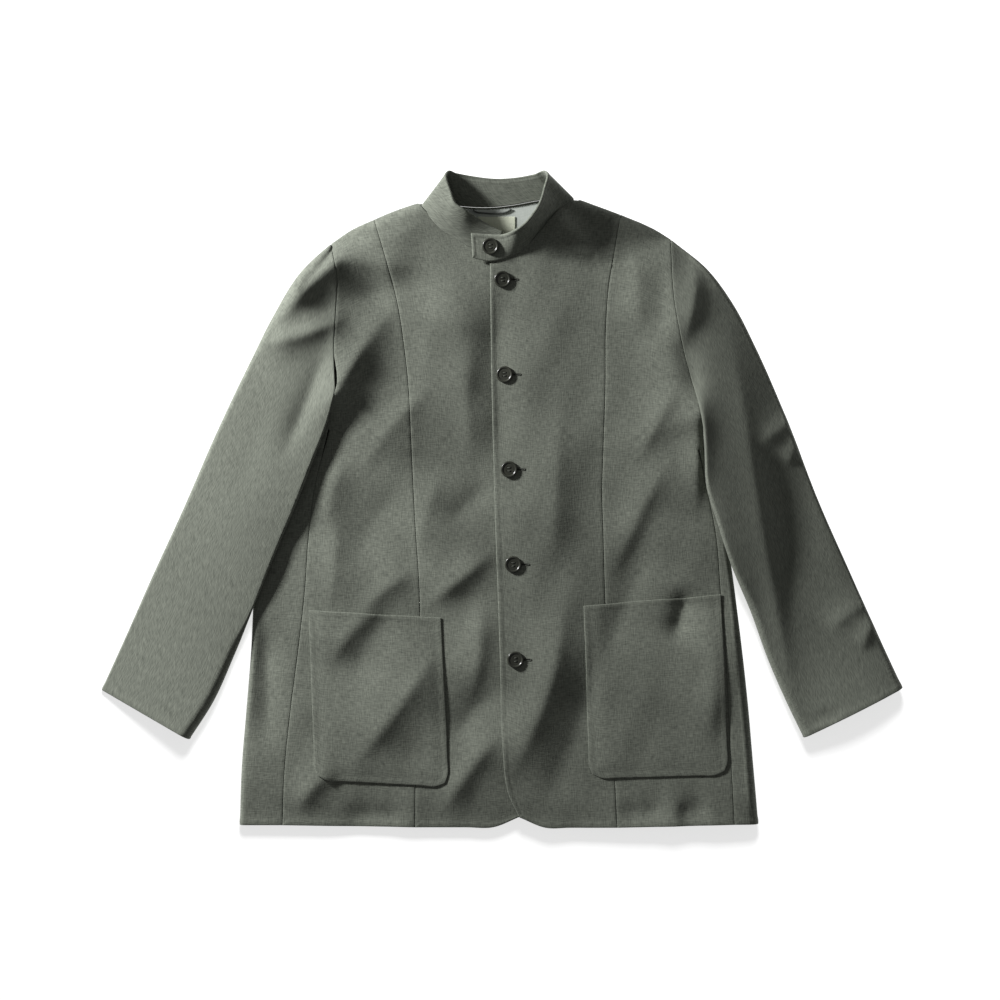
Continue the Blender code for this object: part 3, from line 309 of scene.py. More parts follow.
LEFT_ARM_FOLDS = (
    Fold((268.0, 240.0), (314.0, -40.0), (366.0, -330.0), 26.0, 30.0, 9.0),
    Fold((313.0, 120.0), (336.0, 0.0), (350.0, -222.0), 26.0, 27.0, -3.5),
    Fold((359.0, 72.0), (395.0, -54.0), (421.0, -144.0), 24.0, 24.0, 2.0),
    Fold((360.0, 106.0), (332.0, 83.0), (304.0, 62.0), 12.0, 14.0, 5.0),
    Fold((366.0, 82.0), (352.0, 62.0), (340.0, 36.0), 9.0, 14.0, 5.0),
    Fold((450.0, -122.0), (419.0, -135.0), (388.0, -162.0), 13.0, 16.0, 5.0),
    Fold((446.0, -138.0), (438.0, -160.0), (430.0, -184.0), 7.0, 12.0, 5.0),
    Fold((360.0, -290.0), (432.0, -254.0), (510.0, -219.0), 34.0, 10.0, 6.5),
    Fold((232.0, 300.0), (231.0, 244.0), (214.0, 176.0), 13.0, 24.0, 8.5),
    Fold((208.0, 210.0), (222.0, 162.0), (240.0, 106.0), 7.0, 8.0, -4.5),
    Fold((389.0, -246.0), (392.0, -258.0), (395.0, -270.0), 12.0, 12.0, -1.5),
)
FOLD_STEPS = 16
FOLD_TAPER = 0.4
RIDGE_ROUND = 5.0
TROUGH_ROUND = 8.0

# Waves in which the cloth lies: slow and quick ones of the body, then those of a sleeve
SLOW_WAVES = (
    Wave(0.043, 0.017, 0.3), Wave(-0.021, 0.038, 1.9), Wave(0.061, -0.029, 4.1), Wave(0.012, 0.071, 2.6),
)
QUICK_WAVES = (
    Wave(0.117, 0.031, 0.8), Wave(0.023, 0.128, 2.2), Wave(-0.093, 0.074, 5.0), Wave(0.141, -0.052, 3.3),
)
ARM_WAVES = (Wave(0.05, 0.03, 0.0), Wave(0.0, 0.024, 1.0))

# From the tab round the neck to the end under the tab
COLLAR = (
    CollarRow(-34.0, 289.0, 21.0, -36.0, 318.5, 22.0),
    CollarRow(-13.0, 284.5, 20.5, -14.0, 317.0, 22.5),
    CollarRow(5.0, 288.0, 19.0, 2.0, 316.5, 27.0),
    CollarRow(22.0, 296.0, 17.5, 17.0, 321.0, 41.0),
    CollarRow(36.0, 306.0, 16.0, 28.0, 328.0, 48.0),
    CollarRow(49.0, 320.0, 15.5, 37.0, 338.0, 50.5),
    CollarRow(61.0, 334.5, 15.0, 45.0, 351.0, 50.5),
    CollarRow(75.0, 350.0, 13.5, 50.5, 369.0, 48.0),
    CollarRow(87.0, 359.5, 11.0, 54.0, 387.0, 42.0),
    CollarRow(84.0, 362.0, 6.5, 51.5, 391.5, 28.0),
    CollarRow(66.0, 361.5, 4.5, 39.0, 389.0, 18.0),
    CollarRow(45.0, 359.5, 4.2, 21.0, 386.5, 12.0),
    CollarRow(17.0, 354.5, 4.2, -2.0, 385.0, 10.0),
    CollarRow(-9.0, 351.5, 4.2, -19.0, 386.0, 10.0),
    CollarRow(-33.0, 351.5, 4.2, -37.0, 388.5, 11.0),
    CollarRow(-60.0, 354.0, 4.5, -53.0, 391.0, 15.0),
    CollarRow(-88.0, 356.0, 4.6, -63.0, 392.0, 21.0),
    CollarRow(-95.0, 351.5, 8.0, -65.0, 387.0, 26.0),
    CollarRow(-86.0, 339.0, 14.0, -60.0, 370.0, 29.0),
    CollarRow(-72.0, 324.0, 15.0, -54.0, 354.0, 31.0),
    CollarRow(-55.0, 313.0, 15.0, -42.0, 345.5, 30.0),
    CollarRow(-37.0, 302.0, 14.5, -28.0, 337.0, 21.5),
    CollarRow(-19.0, 295.0, 13.8, -13.0, 328.0, 16.5),
    CollarRow(-3.0, 291.0, 13.4, 2.0, 321.0, 14.8),
)
LEFT_NECK_ROWS = slice(1, 9)
RIGHT_NECK_ROWS = slice(17, 24)
BACK_NECK_ROWS = slice(9, 17)

# Where the upper front's edge runs, and the rounded corner below it
FRONT_EDGE = (
    (10.0, -355.0), (1.5, -290.0), (-1.0, -200.0), (-7.8, 0.0), (-11.5, 150.0), (-13.2, 282.5),
)
CORNER_POINT = (22.0, -380.0)
CORNER_REACH = 32.0
HEM_MIDDLE_Y = -392.5
HEM_BREAKS = (-110.0, 130.0)
UNDERLAP = 36.0

# Shares of a panel's edge at which it turns a corner
FRONT_TOP_CORNER = 0.34
SIDE_SEAM_CORNER = 0.62
BACK_SIDE_CORNER = 0.66
BACK_TOP_CORNERS = (0.5, 0.7)
BACK_SHOULDER_END = 0.93
BACK_ARMHOLE_BOW = (4.0, 6.0)


class Curve:
    """Smooth curve through a few points, read by its share of length from 0 to 1."""

    def __init__(self, points: Sequence, knots: Sequence[float] | None = None) -> None:
        """Keeps the points with the slope of the curve at each one.

        Args:
            points: the places that the curve passes through, in order.
            knots: the share at each point; without it, its share of the length.
        """
        self.points = np.asarray(points, float)
        steps = np.linalg.norm(np.diff(self.points, axis=0), axis=1)
        by_length = np.concatenate([[0.0], np.cumsum(steps)]) / steps.sum()
        self.knots = by_length if knots is None else np.asarray(knots, float)
        self.slopes = np.gradient(self.points, self.knots, axis=0)

    def __call__(self, share: np.ndarray | float) -> np.ndarray:
        """Cubic between two neighbours that keeps the slope at both.

        Args:
            share: how far along, from 0 to 1.

        Returns:
            The places there.
        """
        share = np.clip(np.asarray(share, float), self.knots[0], self.knots[-1])
        i = np.clip(np.searchsorted(self.knots, share, side="right") - 1, 0, len(self.knots) - 2)
        span = (self.knots[i + 1] - self.knots[i])[..., None]
        t = (share - self.knots[i])[..., None] / span
        start = (1 + 2 * t) * (1 - t) ** 2 * self.points[i] + t * (1 - t) ** 2 * span * self.slopes[i]
        end = t * t * (3 - 2 * t) * self.points[i + 1] + t * t * (t - 1) * span * self.slopes[i + 1]
        return start + end


@dataclass(frozen=True)
class Chain:
    """Two edges end to end with a corner between them, at the share given."""

    first: Edge
    second: Edge
    corner: float

    def __call__(self, share: np.ndarray | float) -> np.ndarray:
        """Reads the first edge up to the corner and the second one after it.

        Args:
            share: how far along both, from 0 to 1.

        Returns:
            The places there.
        """
        share = np.asarray(share, float)
        early = self.first(share / self.corner)
        late = self.second((share - self.corner) / (1.0 - self.corner))
        return np.where((share < self.corner)[..., None], early, late)


def smoothstep(low: float, high: float, value: np.ndarray) -> np.ndarray:
    """Soft change from 0 below low to 1 above high: 3t² - 2t³.

    Args:
        low: where the change starts.
        high: where it ends.
        value: the places asked for.

    Returns:
        The share of the change at each place.
    """
    t = np.clip((value - low) / (high - low), 0.0, 1.0)
    return t * t * (3.0 - 2.0 * t)


def bell(distance: np.ndarray, width: np.ndarray | float) -> np.ndarray:
    """Bell curve that is 1 at no distance: e to the power of minus (distance / width)²."""
    return np.exp(-((distance / width) ** 2))


def table_curve(pairs: Sequence[tuple[float, float]], share: np.ndarray) -> np.ndarray:
    """Smooth value between the rows of a short table.

    Args:
        pairs: share and value in each row.
        share: the places asked for.

    Returns:
        The values there.
    """
    shares, values = zip(*pairs)
    return Curve([(value,) for value in values], shares)(share)[..., 0]


def backwards(edge: Edge) -> Edge:
    """The same edge read from its other end."""
    return lambda share: edge(1.0 - np.asarray(share, float))


def raised(plan: np.ndarray, height: np.ndarray) -> np.ndarray:
    """Plan points and heights as one array of places."""
    return np.concatenate([plan, np.broadcast_to(height, plan.shape[:-1])[..., None]], axis=-1)


def patch(u: np.ndarray, v: np.ndarray, left: Edge, right: Edge, bottom: Edge, top: Edge) -> np.ndarray:
    """Plan of a four-sided panel: its edges blended across and along, less the blend of its corners.

    Args:
        u: shares across, from the left edge to the right one.
        v: shares along, from the bottom edge to the top one.
        left, right, bottom, top: the four edges.

    Returns:
        Plan points for each pair of shares.
    """
    blend_u, blend_v = u[..., None], v[..., None]
    across = (1 - blend_u) * left(v) + blend_u * right(v)
    along = (1 - blend_v) * bottom(u) + blend_v * top(u)
    zero, one = np.zeros(1), np.ones(1)
    low = (1 - blend_u) * bottom(zero) + blend_u * bottom(one)
    high = (1 - blend_u) * top(zero) + blend_u * top(one)
    return across + along - (1 - blend_v) * low - blend_v * high


def nearest_on_line(points: np.ndarray, line: np.ndarray) -> tuple[np.ndarray, np.ndarray, np.ndarray]:
    """Foot of the shortest way from each point to a bent line.

    Args:
        points: plan points.
        line: the line's own points.

    Returns:
        The distance, the share of the line at the foot, and a number above 0 on its left hand.
    """
    starts, steps = line[:-1], np.diff(line, axis=0)
    offsets = points[..., None, :] - starts
    shares = np.clip((offsets * steps).sum(-1) / (steps * steps).sum(-1), 0.0, 1.0)
    distances = np.linalg.norm(offsets - shares[..., None] * steps, axis=-1)
    best = distances.argmin(axis=-1)[..., None]
    distance = np.take_along_axis(distances, best, -1)[..., 0]
    share = (best[..., 0] + np.take_along_axis(shares, best, -1)[..., 0]) / len(steps)
    turn = steps[:, 0] * offsets[..., 1] - steps[:, 1] * offsets[..., 0]
    return distance, share, np.take_along_axis(turn, best, -1)[..., 0]


def fold_height(points: np.ndarray, folds: Sequence[Fold]) -> np.ndarray:
    """Sum of the creases, each faded at its two ends.

    Across a crease the height falls by e to the power of minus (way past its rounded crest / width).

    Args:
        points: plan points.
        folds: the creases.

    Returns:
        The height they add at each point.
    """
    total = np.zeros(points.shape[:-1])
    for fold in folds:
        line = Curve((fold.start, fold.middle, fold.end))(np.linspace(0.0, 1.0, FOLD_STEPS))
        distance, share, turn = nearest_on_line(points, line)
        width = np.where(turn > 0, fold.near_width, fold.far_width)
        ends = smoothstep(0.0, FOLD_TAPER, share) * smoothstep(0.0, FOLD_TAPER, 1.0 - share)
        crest = RIDGE_ROUND if fold.height > 0 else TROUGH_ROUND
        total += fold.height * ends * np.exp((crest - np.hypot(distance, crest)) / width)
    return total


def wave_height(points: np.ndarray, waves: Sequence[Wave]) -> np.ndarray:
    """Slanted waves added up: each is the sine of along_x times x plus along_y times y plus start.

    Args:
        points: plan points.
        waves: the waves.

    Returns:
        Their sum at each point.
    """
    x, y = points[..., 0], points[..., 1]
    return sum(np.sin(wave.along_x * x + wave.along_y * y + wave.start) for wave in waves)


def rimmed_shares(length: float, step: float) -> np.ndarray:
    """Shares of a length, close together at both ends where an edge is rounded or sewn.

    Args:
        length: the length.
        step: the even step between the two ends.

    Returns:
        Shares from 0 to 1.
    """
    rim = np.array(RIM_STEPS)
    count = max(2, round((length - 2 * rim[-1]) / step))
    even = np.linspace(rim[-1], length - rim[-1], count + 1)[1:-1]
    return np.concatenate([rim, even, length - rim[::-1]]) / length


def grid_shares(width: float, length: float, step: float) -> tuple[np.ndarray, np.ndarray]:
    """Shares across and along a panel, as two arrays over its grid."""
    return np.meshgrid(rimmed_shares(width, step), rimmed_shares(length, step), indexing="ij")


@dataclass(frozen=True)
class EdgeForm:
    """Form of the cloth beside one edge, by the distance from it."""

    dip: float = 0.0
    dip_width: float = 4.0
    puff: float = 0.0
    puff_at: float = 3.0
    puff_width: float = 2.4
    groove: float = 0.0
    groove_at: float = 7.0
    groove_width: float = 1.1

    def height(self, distance: np.ndarray) -> np.ndarray:
        """A rounded puff, less a dip that fades from the edge and a narrow sewn groove.

        Args:
            distance: from the edge.

        Returns:
            How far the cloth is moved out there.
        """
        puff = self.puff * bell(distance - self.puff_at, self.puff_width)
        dip = self.dip * bell(distance, self.dip_width)
        return puff - dip - self.groove * bell(distance - self.groove_at, self.groove_width)


class Edging(Enum):
    """Ways in which an edge of the cloth is finished."""

    PLAIN = EdgeForm()
    SEAM = EdgeForm(dip=0.3, dip_width=2.0)
    TURNED = EdgeForm(puff=0.25, puff_at=3.0, groove=0.1)
    TUCKED = EdgeForm(dip=4.0, dip_width=8.0)
    HEM = EdgeForm(puff=0.5, puff_at=4.0, puff_width=4.0)
    POCKET = EdgeForm(puff=0.3, puff_at=3.4, puff_width=3.0)
    BAND = EdgeForm(puff=0.4, puff_at=2.5, groove=0.3, groove_at=5.5)


class Edges(NamedTuple):
    """Finish of a piece's four edges: the grid's first and last column, then first and last row."""

    first_column: Edging = Edging.PLAIN
    last_column: Edging = Edging.PLAIN
    first_row: Edging = Edging.PLAIN
    last_row: Edging = Edging.PLAIN


class GarmentSide(NamedTuple):
    """Everything that differs between the two sides of the garment."""

    name: str
    sign: float
    body: tuple[BodyRow, ...]
    panel_top: tuple[Plan, ...]
    shoulder: tuple[Plan, ...]
    armhole: tuple[Plan, ...]
    arm: tuple[ArmRow, ...]
    arm_heights: tuple[ArmHeight, ...]
    seam_heights: tuple[tuple[float, float], ...]
    arm_folds: tuple[Fold, ...]
    pocket: PocketCorners
    neck_rows: slice


RIGHT = GarmentSide(
    "right", -1.0, RIGHT_BODY, RIGHT_PANEL_TOP, RIGHT_SHOULDER, RIGHT_ARMHOLE, RIGHT_ARM,
    RIGHT_ARM_HEIGHTS, RIGHT_SEAM_HEIGHTS, RIGHT_ARM_FOLDS, RIGHT_POCKET, RIGHT_NECK_ROWS,
)
LEFT = GarmentSide(
    "left", 1.0, LEFT_BODY, LEFT_PANEL_TOP, LEFT_SHOULDER, LEFT_ARMHOLE, LEFT_ARM,
    LEFT_ARM_HEIGHTS, LEFT_SEAM_HEIGHTS, LEFT_ARM_FOLDS, LEFT_POCKET, LEFT_NECK_ROWS,
)
SIDES = (RIGHT, LEFT)


class Value:
    """A shader socket that takes part in Python arithmetic."""

    def __init__(self, network: "Network", socket: bpy.types.NodeSocket) -> None:
        """Keeps the socket and the network that new nodes go into."""
        self.network = network
        self.socket = socket

    def _math(self, operation: str, first: "Value | float", second: "Value | float") -> "Value":
        """A Math node of two values."""
        return self.network.node("ShaderNodeMath", {"operation": operation}, {0: first, 1: second})

    def __add__(self, other: "Value | float") -> "Value":
        """Sum of the two."""
        return self._math("ADD", self, other)

    def __radd__(self, other: float) -> "Value":
        """Sum of the two."""
        return self._math("ADD", other, self)

    def __sub__(self, other: "Value | float") -> "Value":
        """This less the other."""
        return self._math("SUBTRACT", self, other)

    def __rsub__(self, other: float) -> "Value":
        """The other less this."""
        return self._math("SUBTRACT", other, self)

    def __mul__(self, other: "Value | float") -> "Value":
        """Product of the two."""
        return self._math("MULTIPLY", self, other)

    def __rmul__(self, other: float) -> "Value":
        """Product of the two."""
        return self._math("MULTIPLY", other, self)


class Network:
    """The nodes of one material."""

    def __init__(self, name: str) -> None:
        """Starts a material with one surface shader.

        Args:
            name: the material's name.
        """
        self.material = bpy.data.materials.new(name)
        self.material.use_nodes = True
        self.tree = self.material.node_tree
        self.surface = self.tree.nodes["Principled BSDF"]

    def node(
        self, kind: str, settings: dict | None = None, inputs: dict | None = None, output: int = 0
    ) -> Value:
        """Adds one node.

        Args:
            kind: the node's type.
            settings: its own settings, set before its sockets.
            inputs: values or links, by the name or number of the socket.
            output: the number of the output to hand on.

        Returns:
            That output.
        """
        made = self.tree.nodes.new(kind)
        for name, setting in (settings or {}).items():
            setattr(made, name, setting)
        for socket, given in (inputs or {}).items():
            self.feed(made.inputs[socket], given)
        return Value(self, made.outputs[output])

    def feed(self, socket: bpy.types.NodeSocket, given: "Value | float | tuple") -> None:
        """Links a socket to a value, or sets its constant.

        Args:
            socket: the socket to feed.
            given: the value or the constant.
        """
        if isinstance(given, Value):
            self.tree.links.new(given.socket, socket)
        else:
            socket.default_value = given

    def dress(self, **inputs: "Value | float | tuple") -> bpy.types.Material:
        """Feeds the surface shader.

        Args:
            inputs: socket names, with _ for a space, and what goes into each.

        Returns:
            The finished material.
        """
        for name, given in inputs.items():
            self.feed(self.surface.inputs[name.replace("_", " ")], given)
        return self.material

    def streaks(self, scale: tuple[float, float], detail: float) -> Value:
        """Noise that is drawn out along one thread direction of the cloth.

        Args:
            scale: how often it changes across and along the cloth, per centimetre.
            detail: how many finer layers are added.

        Returns:
            A value about 0.5.
        """
        grain = self.node("ShaderNodeUVMap", {"uv_map": "grain"})
        drawn = self.node("ShaderNodeVectorMath", {"operation": "MULTIPLY"}, {0: grain, 1: (*scale, 0.0)})
        settings = {"noise_dimensions": "2D"}
        return self.node("ShaderNodeTexNoise", settings, {"Vector": drawn, "Scale": 1.0, "Detail": detail})

    def mix(self, share: Value, first: tuple, second: tuple) -> Value:
        """Colour between two, by a share from 0 to 1."""
        inputs = {0: share, 6: (*first, 1.0), 7: (*second, 1.0)}
        return self.node("ShaderNodeMix", {"data_type": "RGBA"}, inputs, output=2)


@dataclass(frozen=True)
class WovenFinish:
    """Woven cloth with threads of two shades that cross: streaks both ways and a fine bump."""

    name: str
    dark: tuple[float, float, float]
    light: tuple[float, float, float]
    roughness: float
    sheen: float
    thread: float = 7.0
    slub: float = 1.1
    contrast: float = 2.1
    bump: float = 0.5
    relief: float = 0.3
    detail: float = 2.0
    gloss: float = 0.2

    def material(self) -> bpy.types.Material:
        """Share of light thread = 0.5 + contrast x the mean of both streaks about 0.5, also the bump.

        Returns:
            The material.
        """
        net = Network(self.name)
        weft = net.streaks((self.slub, self.thread), self.detail)
        warp = net.streaks((self.thread, self.slub), self.detail)
        pattern = (weft + warp - 1.0) * (0.5 * self.contrast) + 0.5
        colour = net.mix(pattern, self.dark, self.light)
        relief = {"Strength": self.bump, "Distance": self.relief * MM, "Height": pattern}
        bump = net.node("ShaderNodeBump", {}, relief)
        return net.dress(
            Base_Color=colour, Roughness=self.roughness, Normal=bump,
            Sheen_Weight=self.sheen, Specular_IOR_Level=self.gloss,
        )


@dataclass(frozen=True)
class HornFinish:
    """Polished dark horn with faint cloudy streaks."""

    name: str
    dark: tuple[float, float, float]
    light: tuple[float, float, float]
    roughness: float
    cloud_scale: float = 160.0
    cloud_detail: float = 3.0

    def material(self) -> bpy.types.Material:
        """Mixes the two shades by a slow noise over the object's own coordinates.

        Returns:
            The material.
        """
        net = Network(self.name)
        place = net.node("ShaderNodeTexCoord", output=3)
        settings = {"Vector": place, "Scale": self.cloud_scale, "Detail": self.cloud_detail}
        cloud = net.node("ShaderNodeTexNoise", {}, settings)
        return net.dress(Base_Color=net.mix(cloud, self.dark, self.light), Roughness=self.roughness)


@dataclass(frozen=True)
class PlainFinish:
    """One even colour."""

    name: str
    colour: tuple[float, float, float]
    roughness: float
    glow: float = 0.0

    def material(self) -> bpy.types.Material:
        """Sets the colour, roughness and glow of the surface."""
        colour = (*self.colour, 1.0)
        return Network(self.name).dress(
            Base_Color=colour, Roughness=self.roughness, Emission_Color=colour, Emission_Strength=self.glow,
        )


class Finish(Enum):
    """The finishes of the garment."""

    WOOL = WovenFinish("wool_melange", (0.085, 0.093, 0.077), (0.200, 0.214, 0.178), 0.88, 0.08)
    LINING = WovenFinish("neck_lining", (0.40, 0.43, 0.40), (0.48, 0.51, 0.48), 0.55, 0.0, bump=0.1)
    LABEL = WovenFinish("label_tape", (0.56, 0.59, 0.47), (0.68, 0.71, 0.58), 0.75, 0.0, bump=0.2)
    HORN = HornFinish("horn_button", (0.012, 0.013, 0.010), (0.045, 0.047, 0.036), 0.28)
    THREAD = PlainFinish("sewing_thread", (0.060, 0.065, 0.052), 0.8)
    # Painted shade: the near-black colour of the tube drawn in each buttonhole's slit
    SLIT_SHADE = PlainFinish("buttonhole_slit_painted_shade", (0.012, 0.013, 0.011), 0.9)
    LOOP = PlainFinish("loop_cord", (0.075, 0.082, 0.075), 0.7)

    def material(self) -> bpy.types.Material:
        """The finish's material, made once."""
        return bpy.data.materials.get(self.value.name) or self.value.material()


def arc_lengths(grid: np.ndarray, axis: int) -> np.ndarray:
    """Length walked along one direction of a grid, from 0 at its start.

    Args:
        grid: places.
        axis: 0 for the way across, 1 for the way along.

    Returns:
        The length at each place.
    """
    steps = np.linalg.norm(np.diff(grid, axis=axis), axis=-1)
    pad = [(0, 0), (0, 0)]
    pad[axis] = (1, 0)
    return np.pad(np.cumsum(steps, axis=axis), pad)


def grid_normals(grid: np.ndarray) -> np.ndarray:
    """Unit normals of a grid: its steps across times its steps along."""
    normal = np.cross(np.gradient(grid, axis=0), np.gradient(grid, axis=1))
    return normal / np.maximum(np.linalg.norm(normal, axis=-1, keepdims=True), 1e-9)


def quad_faces(index: np.ndarray) -> np.ndarray:
    """Four-sided faces between the neighbours of a grid of vertex numbers."""
    corners = (index[:-1, :-1], index[1:, :-1], index[1:, 1:], index[:-1, 1:])
    return np.stack(corners, -1).reshape(-1, 4)


def all_and_inner(upper: np.ndarray, lower: np.ndarray) -> np.ndarray:
    """Rows of the whole of one grid, and then of another one without its rim."""
    size = upper.shape[-1]
    return np.concatenate([upper.reshape(-1, size), lower[1:-1, 1:-1].reshape(-1, size)])


def new_object(name: str, data: bpy.types.ID) -> bpy.types.Object:
    """Makes an object and links it into the scene.

    Args:
        name: the object's name.
        data: its mesh, lamp or camera.

    Returns:
        The object.
    """
    made = bpy.data.objects.new(name, data)
    bpy.context.scene.collection.objects.link(made)
    return made


def add_mesh(
    name: str, places: np.ndarray, faces: np.ndarray, finish: Finish
) -> bpy.types.Object:
    """Makes a smooth mesh object that rides on the garment.

    Args:
        name: the piece's name.
        places: its vertices in millimetres.
        faces: vertex numbers of its faces.
        finish: what it is made of.

    Returns:
        The object.
    """
    mesh = bpy.data.meshes.new(name)
    mesh.from_pydata((places.reshape(-1, 3) * MM).tolist(), [], faces.tolist())
    mesh.shade_smooth()
    return add_object(name, mesh, finish)


def add_object(name: str, mesh: bpy.types.Mesh, finish: Finish) -> bpy.types.Object:
    """Links a finished mesh into the scene, with its material and body.

    Args:
        name: the piece's name.
        mesh: its mesh.
        finish: what it is made of.

    Returns:
        The object.
    """
    piece = new_object(name, mesh)
    mesh.materials.clear()
    mesh.materials.append(finish.material())
    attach(piece, ROOT)
    LOG.info("%s: %d faces", name, len(mesh.polygons))
    return piece


@dataclass
class ClothPiece:
    """One sewn piece: a grid of places for the middle of its wall, made into a closed thin shell."""

    node: str
    grid: np.ndarray
    facing: float
    edges: Edges
    thickness: float = CLOTH
    finish: Finish = Finish.WOOL
    slot: str = "wool"

    def edge_distances(self) -> tuple[np.ndarray, ...]:
        """Distance of every point from the four edges, in the order of Edges."""
        across, along = arc_lengths(self.grid, 0), arc_lengths(self.grid, 1)
        return across, across[-1:] - across, along, along[:, -1:] - along

    def wall(self, distances: tuple[np.ndarray, ...]) -> tuple[np.ndarray, np.ndarray]:
        """The middle of the wall, and the way from it to the outer face.

        The middle is moved out by the form of the edge nearest to it. The way is half the thickness,
        times the root of 1 - (1 - distance / half)² near the rim.

        Args:
            distances: of every point from the four edges.

        Returns:
            The places of the middle, and the ways.
        """
        normal = self.facing * grid_normals(self.grid)
        forms = np.stack([edge.value.height(distance) for edge, distance in zip(self.edges, distances)])
        form = np.take_along_axis(forms, np.argmin(distances, axis=0)[None], axis=0)[0]
        half = self.thickness / 2
        inside = np.clip(np.minimum.reduce(distances) / half, 0.0, 1.0)
        reach = (half * np.sqrt(1.0 - (1.0 - inside) ** 2))[..., None] * normal
        return self.grid + form[..., None] * normal, reach

    def build(self) -> bpy.types.Object:
        """Two faces either side of the grid that come together, rounded, at its rim.

        Returns:
            The piece.
        """
        distances = self.edge_distances()
        middle, reach = self.wall(distances)
        rows, columns = middle.shape[:2]
        index = np.arange(rows * columns).reshape(rows, columns)
        below = index.copy()
        inner = np.arange((rows - 2) * (columns - 2)).reshape(rows - 2, columns - 2)
        below[1:-1, 1:-1] = index.size + inner
        faces = np.concatenate([quad_faces(index), quad_faces(below)[:, ::-1]])
        faces = faces if self.facing > 0 else faces[:, ::-1]
        places = all_and_inner(middle + reach, middle - reach)
        piece = add_mesh(f"{self.node}_cloth", places, faces, self.finish)
        grain = np.stack([distances[0], distances[2]], -1) / MM_PER_CM
        self.lay_grain(piece.data, all_and_inner(grain, grain))
        return piece

    def lay_grain(self, mesh: bpy.types.Mesh, grain: np.ndarray) -> None:
        """Stores the way along the cloth's threads, in centimetres, as its UV map.

        Args:
            mesh: the piece's mesh.
            grain: the way across and along at each of its vertices.
        """
        layer = mesh.uv_layers.new(name="grain")
        corners = np.empty(len(mesh.loops), np.int32)
        mesh.loops.foreach_get("vertex_index", corners)
        layer.data.foreach_set("uv", grain[corners].astype(np.float32).ravel())

    def dress(self) -> bpy.types.Object:
        """Builds the piece and hides the part that it stands for.

        Returns:
            The piece.
        """
        piece = self.build()
        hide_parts(self.node)
        return piece


